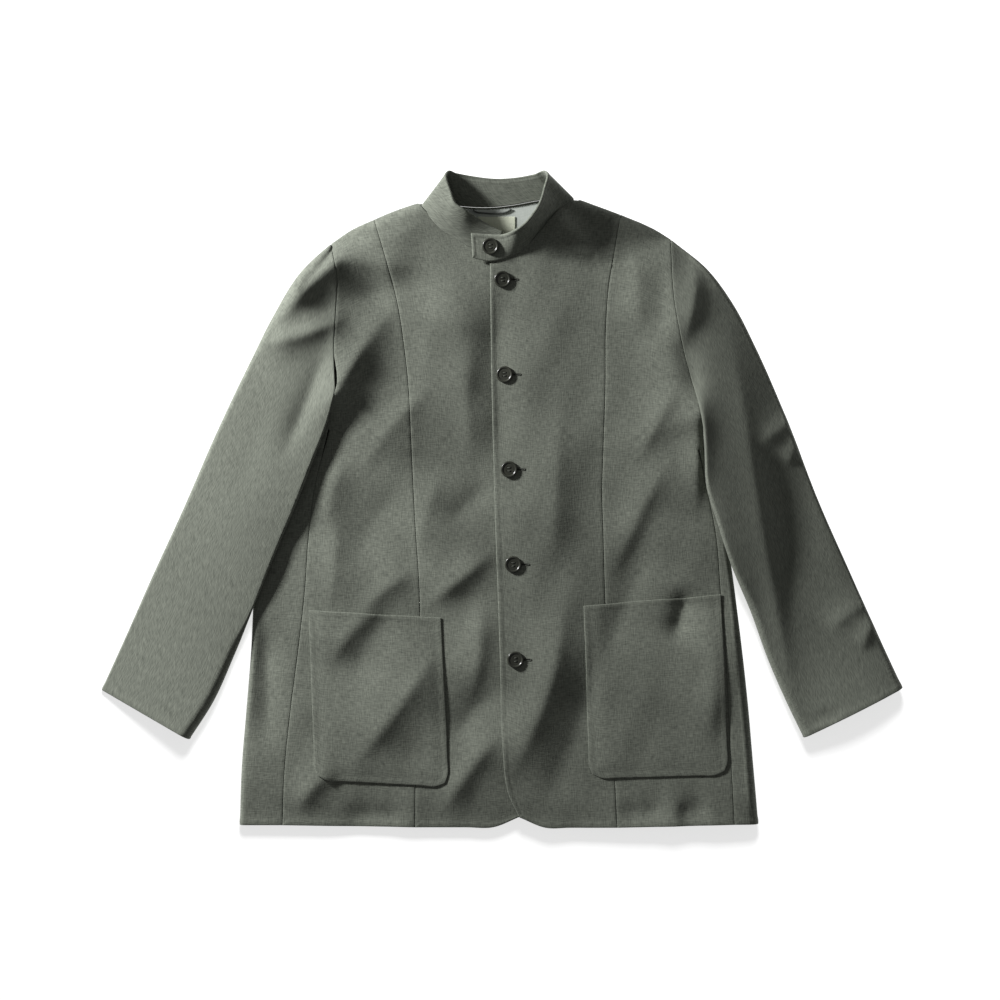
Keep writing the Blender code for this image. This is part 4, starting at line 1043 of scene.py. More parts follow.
@dataclass
class Body:
    """The back, the two fronts and the sides, over one shared field of heights."""

    front_lay: float = 13.0
    shoulder_roll: float = 14.0
    hem_fall: float = 1.0
    hem_fall_depth: float = 36.0
    lap_lift: float = 4.9
    lap_fade: float = 95.0
    armhole_spread: float = 42.0
    underarm_tuck: float = 13.0
    side_under: float = 44.6
    panel_tuck: float = 7.0
    notch_rise: float = 20.0
    notch_width: float = 50.0
    waver: float = 0.35
    quick_share: float = 0.35
    # Rough width and length of the pieces, for the steps of their grids
    centre_size: Plan = (130.0, 750.0)
    flank_size: Plan = (140.0, 730.0)
    side_size: Plan = (60.0, 470.0)
    back_size: Plan = (520.0, 745.0)
    # Numbers of points along edges and of columns across the side panel
    hem_points: int = 4
    side_points: int = 16
    shoulder_points: int = 6
    back_hem_points: int = 25
    over_columns: int = 14
    under_columns: int = 8
    tuck_shares: Plan = (0.5, 0.1)
    panel_tuck_start: float = 0.9
    edge_inset: float = 3 * CLOTH

    def side_seam(self, side: GarmentSide) -> Curve:
        """The side seam from the hem up to the underarm."""
        return Curve([(row.seam, row.y) for row in side.body])

    def side_edge(self, side: GarmentSide) -> Curve:
        """The body's outermost line from the hem up to the underarm."""
        return Curve([(row.edge, row.y) for row in side.body])

    def panel_seam(self, side: GarmentSide) -> Curve:
        """The long seam down a front, from the hem up to the shoulder.

        Args:
            side: of the garment.

        Returns:
            The seam.
        """
        rows = [(row.panel, row.y) for row in side.body]
        rows[0] = (rows[0][0], self.hem_y(rows[0][0]))
        return Curve(rows + list(side.panel_top))

    def hem_y(self, x: float) -> float:
        """Level of the hem, which rises a little from the middle to both side edges.

        Args:
            x: the place across.

        Returns:
            Its y there.
        """
        first, last = RIGHT_BODY[0], LEFT_BODY[0]
        levels = (first.y, HEM_MIDDLE_Y, HEM_MIDDLE_Y, last.y)
        return float(np.interp(x, (first.edge, *HEM_BREAKS, last.edge), levels))

    def hem(self, start: float, end: float) -> list[Plan]:
        """Points of the hem between two x positions."""
        return [(x, self.hem_y(x)) for x in np.linspace(start, end, self.hem_points)]

    def front_edge(self, shift: float) -> Curve:
        """A front's free edge moved sideways, from the middle of its rounded corner up."""
        return Curve([CORNER_POINT] + [(x + shift, y) for x, y in FRONT_EDGE])

    def edge_x(self, y: np.ndarray | float) -> np.ndarray:
        """X of the upper front's edge at a level."""
        xs, ys = zip(*FRONT_EDGE)
        return np.interp(y, ys, xs)

    def unevenness(self, points: np.ndarray) -> np.ndarray:
        """Wavering of cloth that lies loose: its slow waves and a share of its quick ones."""
        quick = self.quick_share * wave_height(points, QUICK_WAVES)
        return self.waver * (wave_height(points, SLOW_WAVES) + quick)

    def shoulder_roll_share(self, points: np.ndarray, side: GarmentSide) -> np.ndarray:
        """Share of the full height beside a shoulder: a quarter circle that starts at its line.

        Args:
            points: plan points.
            side: of the garment.

        Returns:
            The share at each point.
        """
        shoulder = Curve(side.shoulder)(np.linspace(0.0, 1.0, FOLD_STEPS))
        inside = np.clip(nearest_on_line(points, shoulder)[0] / self.shoulder_roll, 0.0, 1.0)
        return np.sqrt(1.0 - (1.0 - inside) ** 2)

    def creases(self, points: np.ndarray) -> np.ndarray:
        """Height of the creases of fronts and sleeves, so that they meet at the armholes.

        Args:
            points: plan points.

        Returns:
            The height they add at each point.
        """
        height = fold_height(points, FRONT_FOLDS + RIGHT.arm_folds + LEFT.arm_folds)
        for side in SIDES:
            height = height * self.shoulder_roll_share(points, side)
        return height

    def armhole_hold(self, points: np.ndarray, side: GarmentSide) -> tuple[np.ndarray, np.ndarray]:
        """How firmly an armhole seam holds the cloth: a bell of the way from it, and one past its end.

        Args:
            points: plan points.
            side: of the garment.

        Returns:
            The hold at each point, from 0 to 1, and the height of the seam nearest to it.
        """
        armhole = Curve(side.armhole)(np.linspace(0.0, 1.0, 2 * FOLD_STEPS))
        distance, share, _ = nearest_on_line(points, armhole)
        onward = towards(np.zeros(2), armhole[-1] - armhole[-2], 1.0)
        past = np.maximum((points - armhole[-1]) @ onward, 0.0)
        hold = bell(distance, self.armhole_spread) * bell(past, self.armhole_spread / 2)
        return hold * (points[..., 0] * side.sign > 0), table_curve(side.seam_heights, share)

    def height(self, points: np.ndarray) -> np.ndarray:
        """Height of the fronts.

        Their lay and the wavering, less the fall to the hem; then rolled over the shoulder and
        pulled up to each armhole seam. The creases come on top.

        Args:
            points: plan points.

        Returns:
            The height of the middle of the cloth.
        """
        height = self.front_lay + self.unevenness(points)
        fall = 1.0 - smoothstep(0.0, self.hem_fall_depth, points[..., 1] - HEM_MIDDLE_Y)
        height = height - self.hem_fall * fall
        for side in SIDES:
            height = SHOULDER_LAY + (height - SHOULDER_LAY) * self.shoulder_roll_share(points, side)
            hold, seam = self.armhole_hold(points, side)
            height = height + (seam - height) * hold
        return height + self.creases(points)

    def lap_rise(self, points: np.ndarray) -> np.ndarray:
        """How far the upper front is lifted by the lower one under it."""
        covered = self.edge_x(points[..., 1]) + UNDERLAP
        return self.lap_lift * (1.0 - smoothstep(covered, covered + self.lap_fade, points[..., 0]))

    def upper_height(self, points: np.ndarray) -> np.ndarray:
        """Height of the upper front."""
        return self.height(points) + self.lap_rise(points)

    def moved_out(self, plan: np.ndarray, distance: np.ndarray | float) -> np.ndarray:
        """Places off the fronts, along the cloth's own direction.

        Args:
            plan: plan points.
            distance: how far off the middle of the cloth.

        Returns:
            The places.
        """
        step = 1.0
        base = self.height(plan)
        slope_x = (self.height(plan + np.array((step, 0.0))) - base) / step
        slope_y = (self.height(plan + np.array((0.0, step))) - base) / step
        normal = np.stack([-slope_x, -slope_y, np.ones_like(base)], -1)
        normal /= np.linalg.norm(normal, axis=-1, keepdims=True)
        return raised(plan, base) + np.asarray(distance)[..., None] * normal

    def neck_edge(self, side: GarmentSide) -> list[Plan]:
        """The neck seam of one front, from the shoulder to its free edge, just under the collar.

        Args:
            side: of the garment.

        Returns:
            Points of the seam.
        """
        points = np.array([(row.base_x, row.base_y) for row in COLLAR[side.neck_rows]])
        points = points[::-1] if side.sign > 0 else points
        along = np.gradient(points, axis=0)
        outward = side.sign * np.stack([-along[:, 1], along[:, 0]], -1)
        outward /= np.linalg.norm(outward, axis=1, keepdims=True)
        return [tuple(side.shoulder[0])] + [tuple(point) for point in (points - NECK_TUCK * outward)[1:]]

    def front_centre(self, side: GarmentSide) -> ClothPiece:
        """Middle of a front: from its panel seam to its free edge, under the neck seam.

        Args:
            side: of the garment.

        Returns:
            The piece.
        """
        upper = side is LEFT
        edge = self.front_edge(0.0 if upper else UNDERLAP)
        neck = self.neck_edge(side)
        neck = neck[:-1] if upper else neck
        neck.append(tuple(edge(1.0)))
        seam = self.panel_seam(side)
        shoulder = Curve([tuple(seam(1.0)), side.shoulder[1], side.shoulder[0]])
        top = Chain(shoulder, Curve(neck), FRONT_TOP_CORNER)
        start, end = side.body[0].panel, CORNER_POINT[0] + side.sign * CORNER_REACH
        bottom = Curve(self.hem(start, end) + [CORNER_POINT])
        u, v = grid_shares(*self.centre_size, BODY_STEP)
        plan = patch(u, v, seam, edge, bottom, top)
        height = self.upper_height(plan) if upper else self.height(plan)
        edges = Edges(Edging.SEAM, Edging.TURNED, Edging.HEM, Edging.SEAM)
        return ClothPiece(f"front_centre_{side.name}", raised(plan, height), -side.sign, edges)

    def front_flank(self, side: GarmentSide) -> ClothPiece:
        """Side part of a front: from its panel seam to the side seam and the armhole.

        Args:
            side: of the garment.

        Returns:
            The piece.
        """
        seam = self.panel_seam(side)
        top = Curve([tuple(seam(1.0)), side.shoulder[3], side.shoulder[4]])
        bottom = Curve(self.hem(side.body[0].panel, side.body[0].seam))
        under = np.array((side.body[-1].seam, side.body[-1].y))
        outward = np.array((side.sign * self.underarm_tuck, 0.0))
        end = np.array(side.armhole[-1])
        tucks = [share * end + (1 - share) * under + outward for share in self.tuck_shares]
        armhole = Curve([*side.armhole, *tucks, under])
        outer = Chain(self.side_seam(side), backwards(armhole), SIDE_SEAM_CORNER)
        u, v = grid_shares(*self.flank_size, BODY_STEP)
        plan = patch(u, v, seam, outer, bottom, top)
        edges = Edges(Edging.SEAM, Edging.SEAM, Edging.HEM, Edging.SEAM)
        return ClothPiece(f"front_flank_{side.name}", raised(plan, self.height(plan)), side.sign, edges)

    def side_panel(self, side: GarmentSide) -> ClothPiece:
        """Side of the body: from the side seam over the edge and under to meet the back.

        Args:
            side: of the garment.

        Returns:
            The piece.
        """
        width, length = self.side_size
        shares = rimmed_shares(length, BODY_STEP)
        seam, edge = self.side_seam(side)(shares), self.side_edge(side)(shares)
        above = self.panel_tuck * smoothstep(self.panel_tuck_start, 1.0, shares)
        seam[:, 1] += above
        edge[:, 1] += above
        outward = np.array((side.sign, 0.0))
        top_height = self.height(edge - outward * self.edge_inset)
        radius = (top_height - FLOOR_LAY) / 2
        fold = edge - outward * (radius + CLOTH / 2)[:, None]
        rim = np.array(RIM_STEPS) / width
        steps = np.concatenate([rim, np.linspace(rim[-1], 1.0, self.over_columns)[1:]])[:, None, None]
        over = seam + steps * (fold - seam)
        over = raised(over, self.height(over))
        over[-1, :, 2] = top_height
        inner = edge - outward * self.side_under
        under = fold + np.linspace(0.0, 1.0, self.under_columns)[:, None, None] * (inner - fold)
        under = raised(under, np.full(under.shape[:-1], FLOOR_LAY))
        grid = np.concatenate([over, rolled(fold, outward, top_height, under[0, :, 2]), under])
        edges = Edges(Edging.SEAM, Edging.PLAIN, Edging.HEM, Edging.TUCKED)
        return ClothPiece(f"side_{side.name}", grid, side.sign, edges)

    def back_side(self, side: GarmentSide) -> Chain:
        """Edge of the back: the side panel's inner edge and then the armhole, from the hem up.

        Args:
            side: of the garment.

        Returns:
            The edge.
        """
        edge = self.side_edge(side)(np.linspace(0.0, 1.0, self.side_points))
        seam = Curve(edge - np.array((side.sign * (self.side_under + UNDER_GAP), 0.0)))
        end, shoulder = seam(1.0), Curve(side.shoulder)(BACK_SHOULDER_END)
        bend = 0.5 * (end + shoulder) - np.array((side.sign, 1.0)) * np.array(BACK_ARMHOLE_BOW)
        return Chain(seam, Curve([tuple(end), tuple(bend), tuple(shoulder)]), BACK_SIDE_CORNER)

    def back(self) -> ClothPiece:
        """The back lies flat, from the hem, which keeps clear of the notch, to shoulders and neck.

        Returns:
            The piece.
        """
        right, left = self.back_side(RIGHT), self.back_side(LEFT)
        neck = [(row.base_x, row.base_y) for row in COLLAR[BACK_NECK_ROWS]][::-1]
        neck[0], neck[-1] = RIGHT.shoulder[0], LEFT.shoulder[0]
        ends = np.linspace(0.0, BACK_SHOULDER_END, self.shoulder_points)
        shoulders = [Curve(Curve(side.shoulder)(ends)) for side in SIDES]
        first = Chain(backwards(shoulders[0]), Curve(neck), BACK_TOP_CORNERS[0])
        top = Chain(first, shoulders[1], BACK_TOP_CORNERS[1])
        corners = [edge(np.zeros(1))[0, 0] for edge in (right, left)]
        across = np.linspace(*corners, self.back_hem_points)
        rise = self.notch_rise * bell(across - CORNER_POINT[0], self.notch_width)
        bottom = Curve([(x, self.hem_y(x) + up) for x, up in zip(across, rise)])
        u, v = grid_shares(*self.back_size, HIDDEN_STEP)
        plan = patch(u, v, right, left, bottom, top)
        grid = raised(plan, np.full(plan.shape[:-1], FLOOR_LAY))
        return ClothPiece("back", grid, -1.0, Edges())

    def dress(self) -> None:
        """Builds every piece of the body."""
        self.back().dress()
        for side in SIDES:
            self.front_centre(side).dress()
            self.front_flank(side).dress()
            self.side_panel(side).dress()


def rolled(
    edge: np.ndarray,
    outward: np.ndarray,
    start: np.ndarray,
    end: np.ndarray,
    shares: np.ndarray = ROLL_SHARES,
) -> np.ndarray:
    """Half-turn of cloth round a fold: a half circle from one height to the other, past its edge.

    Args:
        edge: plan points where the turn starts.
        outward: plan direction of the edge.
        start: height before the turn.
        end: height after it.
        shares: how far round the half circle each row of places is.

    Returns:
        A grid of places over the turn, without its two ends unless the shares hold them.
    """
    middle, radius = (start + end) / 2, (start - end) / 2
    turn = math.pi * shares[:, None]
    plan = edge + np.sin(turn)[..., None] * np.abs(radius)[..., None] * outward
    return raised(plan, middle + radius * np.cos(turn))


@dataclass
class Sleeve:
    """A set-in sleeve as an upper and an under layer over the same plan.

    u runs across from the outer edge (0) to the inner one (1), w along from the head (0) to the cuff.
    """

    side: GarmentSide
    body: Body
    head_blend: float = 0.13
    climb: float = 15.4
    climb_width: float = 30.0
    climb_lead: float = 27.0
    underarm_bend: Plan = (-32.0, 46.0)
    underarm_climb: Plan = (26.0, 62.0)
    tip_clear: float = 2.0
    pinch_length: float = 0.18
    pinch_height: float = 3.0
    pinch_start: float = 0.6
    turn_under: float = 24.0
    seam_turn: float = 0.5
    seam_turn_gap: float = 0.004
    seam_steps: int = 8
    waver: float = 0.3
    length: float = 600.0
    ring_points: int = 9
    over_columns: int = 46
    turned_columns: int = 6
    under_columns: int = 30
    first_inset: float = 6.0
    inset_rounds: int = 3

    def __post_init__(self) -> None:
        """Works out the four edges of the plan."""
        self.outer = Curve([(row.outer_x, row.outer_y) for row in self.side.arm])
        self.inner = Curve([(row.inner_x, row.inner_y) for row in self.side.arm])
        self.head = Curve(self.side.armhole)
        self.cuff = Curve([tuple(self.outer(1.0)), tuple(self.inner(1.0))])

    def plan(self, u: np.ndarray, w: np.ndarray) -> np.ndarray:
        """Plan points: the two edges blended across, the armhole and the cuff blended along."""
        return patch(u, w, self.outer, self.inner, self.head, self.cuff)

    def width(self, w: np.ndarray) -> np.ndarray:
        """Length of the sleeve's rings in plan.

        Args:
            w: shares along.

        Returns:
            The length at each.
        """
        u = np.linspace(0.0, 1.0, self.ring_points)[:, None] * np.ones_like(w)
        rings = self.plan(u, np.broadcast_to(w, u.shape))
        return np.linalg.norm(np.diff(rings, axis=0), axis=-1).sum(axis=0)

    def upper_height(self, u: np.ndarray, w: np.ndarray) -> np.ndarray:
        """Height of the upper layer.

        A parabola through three heights across each ring, blended near the head into the height of
        the armhole seam; the creases come on top.

        Args:
            u: shares across.
            w: shares along.

        Returns:
            The height of the middle of the cloth.
        """
        shares, *columns = zip(*self.side.arm_heights)
        outer, middle, inner = (table_curve(list(zip(shares, column)), w) for column in columns)
        bow = 2 * (outer + inner) - 4 * middle
        height = outer + u * (inner - outer) - bow * u * (1 - u)
        points = self.plan(u, w)
        sewn = 1.0 - smoothstep(0.0, self.head_blend, w)
        height = height + self.waver * wave_height(points, ARM_WAVES)
        height = height + (table_curve(self.side.seam_heights, u) - height) * sewn
        return height + self.body.creases(points)

    def under_height(self, u: np.ndarray, w: np.ndarray) -> np.ndarray:
        """Height of the under layer: on the floor, climbing over the body and pinched to the underarm.

        Args:
            u: shares across.
            w: shares along.

        Returns:
            The height of the middle of the cloth.
        """
        points = self.plan(u, w)
        sign = self.side.sign
        rows = [(row.y, row.edge) for row in self.side.body]
        tip = self.side.shoulder[-1]
        underarm, line = rows[-1]
        rows.append((underarm + self.underarm_bend[1], line + sign * self.underarm_bend[0]))
        rows.append((tip[1], tip[0] + sign * self.tip_clear))
        ys, xs = zip(*rows)
        inside = sign * (np.interp(points[..., 1], ys, xs) - points[..., 0])
        lead = self.climb_lead * (1.0 - smoothstep(*self.underarm_climb, points[..., 1] - underarm))
        height = FLOOR_LAY + self.climb * smoothstep(0.0, self.climb_width, inside + lead)
        pinch = (1.0 - smoothstep(0.0, self.pinch_length, w)) * smoothstep(self.pinch_start, 1.0, u)
        return height + (self.upper_height(u, w) - self.pinch_height - height) * pinch

    def upper(self, u: np.ndarray, w: np.ndarray) -> np.ndarray:
        """Places on the upper layer."""
        return raised(self.plan(u, w), self.upper_height(u, w))

    def under(self, u: np.ndarray, w: np.ndarray) -> np.ndarray:
        """Places on the under layer."""
        return raised(self.plan(u, w), self.under_height(u, w))

    def fold_share(self, w: np.ndarray, at: float) -> np.ndarray:
        """Share across at which the cloth starts to turn round an edge, found in a few rounds.

        Args:
            w: shares along.
            at: which edge, 0 or 1.

        Returns:
            The share across at each.
        """
        inset = np.full_like(w, self.first_inset)
        for _ in range(self.inset_rounds):
            u = at + (0.5 - at) * 2 * inset / self.width(w)
            inset = np.abs(self.upper(u, w)[:, 2] - self.under(u, w)[:, 2]) / 2 + CLOTH / 2
        return at + (0.5 - at) * 2 * inset / self.width(w)

    def across(
        self, layer: Layer, start: np.ndarray, end: np.ndarray, w: np.ndarray, columns: int
    ) -> np.ndarray:
        """One layer between two shares across, row by row.

        Args:
            layer: upper or under.
            start: share across where it starts, by row.
            end: share across where it ends, by row.
            w: shares along.
            columns: how many columns of places, from start to end.

        Returns:
            A grid of places.
        """
        u = start + np.linspace(0.0, 1.0, columns)[:, None] * (end - start)
        return layer(u, np.broadcast_to(w, u.shape))

    def turn(
        self, w: np.ndarray, at: float, from_upper: bool, shares: np.ndarray = ROLL_SHARES
    ) -> np.ndarray:
        """The half-turn round one edge of the sleeve, or a share of it.

        Args:
            w: shares along.
            at: which edge, 0 or 1.
            from_upper: whether it starts at the upper layer.
            shares: how far round the turn each row of places is.

        Returns:
            A grid of places.
        """
        fold = self.fold_share(w, at)
        upper, under = self.upper(fold, w), self.under(fold, w)
        outward = self.plan(np.full_like(w, at), w) - upper[:, :2]
        outward = outward / np.linalg.norm(outward, axis=1, keepdims=True)
        first, last = (upper, under) if from_upper else (under, upper)
        return rolled(upper[:, :2], outward, first[:, 2], last[:, 2], shares)

    def rows(self) -> np.ndarray:
        """Shares along the sleeve, just clear of the armhole seam at its head."""
        clear = SEAM_GAP / np.linalg.norm(self.outer(1.0) - self.outer(0.0))
        return clear + (1.0 - clear) * rimmed_shares(self.length, BODY_STEP)

    def outer_seam(self, w: np.ndarray) -> np.ndarray:
        """Shares across of the outer seam, which lies underneath."""
        return self.fold_share(w, 0.0) + self.turn_under / self.width(w)

    def top_piece(self) -> ClothPiece:
        """Upper sleeve: from the seam in the inner turn across, over the outer edge and a way under.

        Returns:
            The piece.
        """
        w = self.rows()
        shares = np.linspace(self.seam_turn + self.seam_turn_gap, 1.0, self.seam_steps)[:-1]
        outer_fold = self.fold_share(w, 0.0)
        over = self.across(self.upper, self.fold_share(w, 1.0), outer_fold, w, self.over_columns)
        below = self.across(self.under, outer_fold, self.outer_seam(w), w, self.turned_columns)
        grid = np.concatenate([self.turn(w, 1.0, False, shares), over, self.turn(w, 0.0, True), below])
        edges = Edges(Edging.SEAM, Edging.PLAIN, Edging.SEAM, Edging.HEM)
        return ClothPiece(f"sleeve_top_{self.side.name}", grid, -self.side.sign, edges)

    def under_piece(self) -> ClothPiece:
        """Under sleeve: along the floor from the outer seam to the seam in the inner turn.

        Returns:
            The piece.
        """
        w = self.rows()
        shares = np.linspace(0.0, self.seam_turn, self.seam_steps)[1:]
        start = self.outer_seam(w) + UNDER_GAP / self.width(w)
        below = self.across(self.under, start, self.fold_share(w, 1.0), w, self.under_columns)
        grid = np.concatenate([below, self.turn(w, 1.0, False, shares)])
        edges = Edges(Edging.PLAIN, Edging.SEAM, Edging.SEAM, Edging.HEM)
        return ClothPiece(f"sleeve_under_{self.side.name}", grid, -self.side.sign, edges)

    def dress(self) -> None:
        """Builds both pieces of the sleeve."""
        self.top_piece().dress()
        self.under_piece().dress()


@dataclass
class Pocket:
    """A patch pocket with rounded lower corners, sewn to the front under it."""

    side: GarmentSide
    body: Body
    size: Plan = (162.0, 205.0)
    radius: float = 16.0
    sewn_lift: float = 1.7
    loose_lift: float = 1.2
    loose_width: float = 22.0

    def plan(self, u: np.ndarray, v: np.ndarray) -> np.ndarray:
        """Plan of the pocket: a four-sided patch whose lower corners are cut round.

        Args:
            u: shares across, from the front's middle to its side.
            v: shares along, from the bottom up.

        Returns:
            Plan points.
        """
        top_in, top_out, bottom_out, bottom_in = (np.array(corner) for corner in self.side.pocket)
        cut = self.radius * (math.sqrt(2.0) - 1.0)
        low_in, low_out = towards(bottom_in, top_out, cut), towards(bottom_out, top_in, cut)
        reaches = (self.radius, 2 * self.radius)
        inner = Curve([low_in] + [towards(bottom_in, top_in, reach) for reach in reaches] + [top_in])
        outer = Curve([low_out] + [towards(bottom_out, top_out, reach) for reach in reaches] + [top_out])
        bottom = Curve(
            [low_in]
            + [towards(bottom_in, bottom_out, reach) for reach in reaches]
            + [towards(bottom_out, bottom_in, reach) for reach in reversed(reaches)]
            + [low_out]
        )
        return patch(u, v, inner, outer, bottom, Curve((top_in, top_out)))

    def dress(self) -> None:
        """Lays the patch on the front, a little looser in its middle than at its sewn edges."""
        width, length = self.size
        u, v = grid_shares(width, length, POCKET_STEP)
        edge = np.minimum(np.minimum(u, 1.0 - u) * width, v * length)
        lift = self.sewn_lift + self.loose_lift * smoothstep(0.0, self.loose_width, edge)
        grid = self.body.moved_out(self.plan(u, v), lift)
        edges = Edges(Edging.POCKET, Edging.POCKET, Edging.POCKET, Edging.POCKET)
        ClothPiece(f"pocket_{self.side.name}", grid, self.side.sign, edges).dress()


def towards(start: np.ndarray, end: np.ndarray, distance: float) -> np.ndarray:
    """The point this far from start on the way to end."""
    return start + distance * (end - start) / np.linalg.norm(end - start)


@dataclass
class Collar:
    """The band collar, from its tab round the neck to the end under the tab."""

    length: float = 470.0
    depth: float = 36.0
    step: float = 2.4

    def __post_init__(self) -> None:
        """Works out the sewn edge and the free edge at the same stations."""
        self.base = Curve([row[:3] for row in COLLAR])
        self.free = Curve([row[3:] for row in COLLAR], self.base.knots)

    def places(self, along: np.ndarray, up: np.ndarray) -> np.ndarray:
        """Places on the band: straight between its sewn edge and its free edge."""
        return (1 - up[..., None]) * self.base(along) + up[..., None] * self.free(along)

    def dress(self) -> None:
        """Builds the band."""
        along, up = grid_shares(self.length, self.depth, self.step)
        edges = Edges(Edging.BAND, Edging.BAND, Edging.SEAM, Edging.BAND)
        ClothPiece("collar", self.places(along, up), 1.0, edges, COLLAR_CLOTH).dress()


@dataclass
class NeckInside:
    """What shows inside the neck: the lining, a bare label and the hanger loop."""

    top_drop: float = 2.6
    bottom: tuple[Plan, ...] = ((-78.0, 262.0), (-30.0, 240.0), (30.0, 240.0), (74.0, 262.0))
    label_size: Plan = (45.0, 21.5)
    label_centre: Plan = (-5.4, 329.5)
    loop: tuple[Plan, ...] = (
        (-34.0, 349.0), (-31.0, 346.5), (-20.0, 344.5), (-6.0, 343.8), (6.0, 345.5), (13.0, 349.5),
    )
    loop_radius: float = 0.9
    loop_points: int = 40
    lining_size: Plan = (165.0, 110.0)
    label_step: float = 1.5

    def lining(self) -> ClothPiece:
        """The lining, flat on the back.

        Returns:
            The piece.
        """
        neck = [(row.base_x, row.base_y - self.top_drop) for row in COLLAR[BACK_NECK_ROWS]]
        top, bottom = Curve(neck[::-1]), Curve(self.bottom)
        u, v = grid_shares(*self.lining_size, BODY_STEP)
        plan = (1 - v[..., None]) * bottom(u) + v[..., None] * top(u)
        grid = raised(plan, np.full(u.shape, LINING_LAY))
        return ClothPiece("lining", grid, 1.0, Edges(), THIN_CLOTH, Finish.LINING, "lining")

    def label(self) -> ClothPiece:
        """The label, flat on the lining.

        Returns:
            The piece.
        """
        u, v = grid_shares(*self.label_size, self.label_step)
        plan = np.stack([u - 0.5, v - 0.5], -1) * np.array(self.label_size) + np.array(self.label_centre)
        grid = raised(plan, np.full(u.shape, LINING_LAY + THIN_CLOTH + SEAM_GAP))
        return ClothPiece("label", grid, 1.0, Edges(), THIN_CLOTH, Finish.LABEL, "label")

    def dress(self) -> None:
        """Builds the three."""
        self.lining().dress()
        self.label().dress()
        line = Curve(self.loop)(np.linspace(0.0, 1.0, self.loop_points))
        path = raised(line, np.full(len(line), LINING_LAY + THIN_CLOTH + self.loop_radius))
        piece = tube("hanger_loop_cord", path, self.loop_radius, Finish.LOOP)
        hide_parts("hanger_loop")


def drawn_in(path: np.ndarray, radius: float) -> np.ndarray:
    """Radii along an open path, rounded off to nearly nothing at its two ends.

    Args:
        path: places along the middle.
        radius: away from the ends.

    Returns:
        The radius at each place.
    """
    walked = np.concatenate([[0.0], np.cumsum(np.linalg.norm(np.diff(path, axis=0), axis=1))])
    ends = np.clip(np.minimum(walked, walked[-1] - walked) / radius, TUBE_END, 1.0)
    return radius * np.sqrt(1.0 - (1.0 - ends) ** 2)


def tube(
    name: str,
    path: np.ndarray,
    radius: float,
    finish: Finish,
    closed: bool = False,
    sides: int = 10,
) -> bpy.types.Object:
    """A round profile carried along a path; an open one is drawn in to a point at both ends.

    Args:
        name: the piece's name.
        path: the places that its middle passes through.
        radius: of the profile.
        finish: what it is made of.
        closed: whether the path is a ring.
        sides: of the profile.

    Returns:
        The piece.
    """
    if closed:
        course = np.roll(path, -1, axis=0) - np.roll(path, 1, axis=0)
        radii = np.full(len(path), radius)
    else:
        course = np.gradient(path, axis=0)
        radii = drawn_in(path, radius)
    course = course / np.linalg.norm(course, axis=1, keepdims=True)
    side = np.cross(course, np.array((0.0, 0.0, 1.0)))
    side /= np.linalg.norm(side, axis=1, keepdims=True)
    rise = np.cross(side, course)
    turn = np.linspace(0.0, 2 * math.pi, sides, endpoint=False)[:, None, None]
    places = path + radii[:, None] * (np.cos(turn) * side + np.sin(turn) * rise)
    index = np.arange(sides * len(path)).reshape(sides, len(path))
    index = np.concatenate([index, index[:1]])
    index = np.concatenate([index, index[:, :1]], axis=1) if closed else index
    return add_mesh(name, places, quad_faces(index), finish)


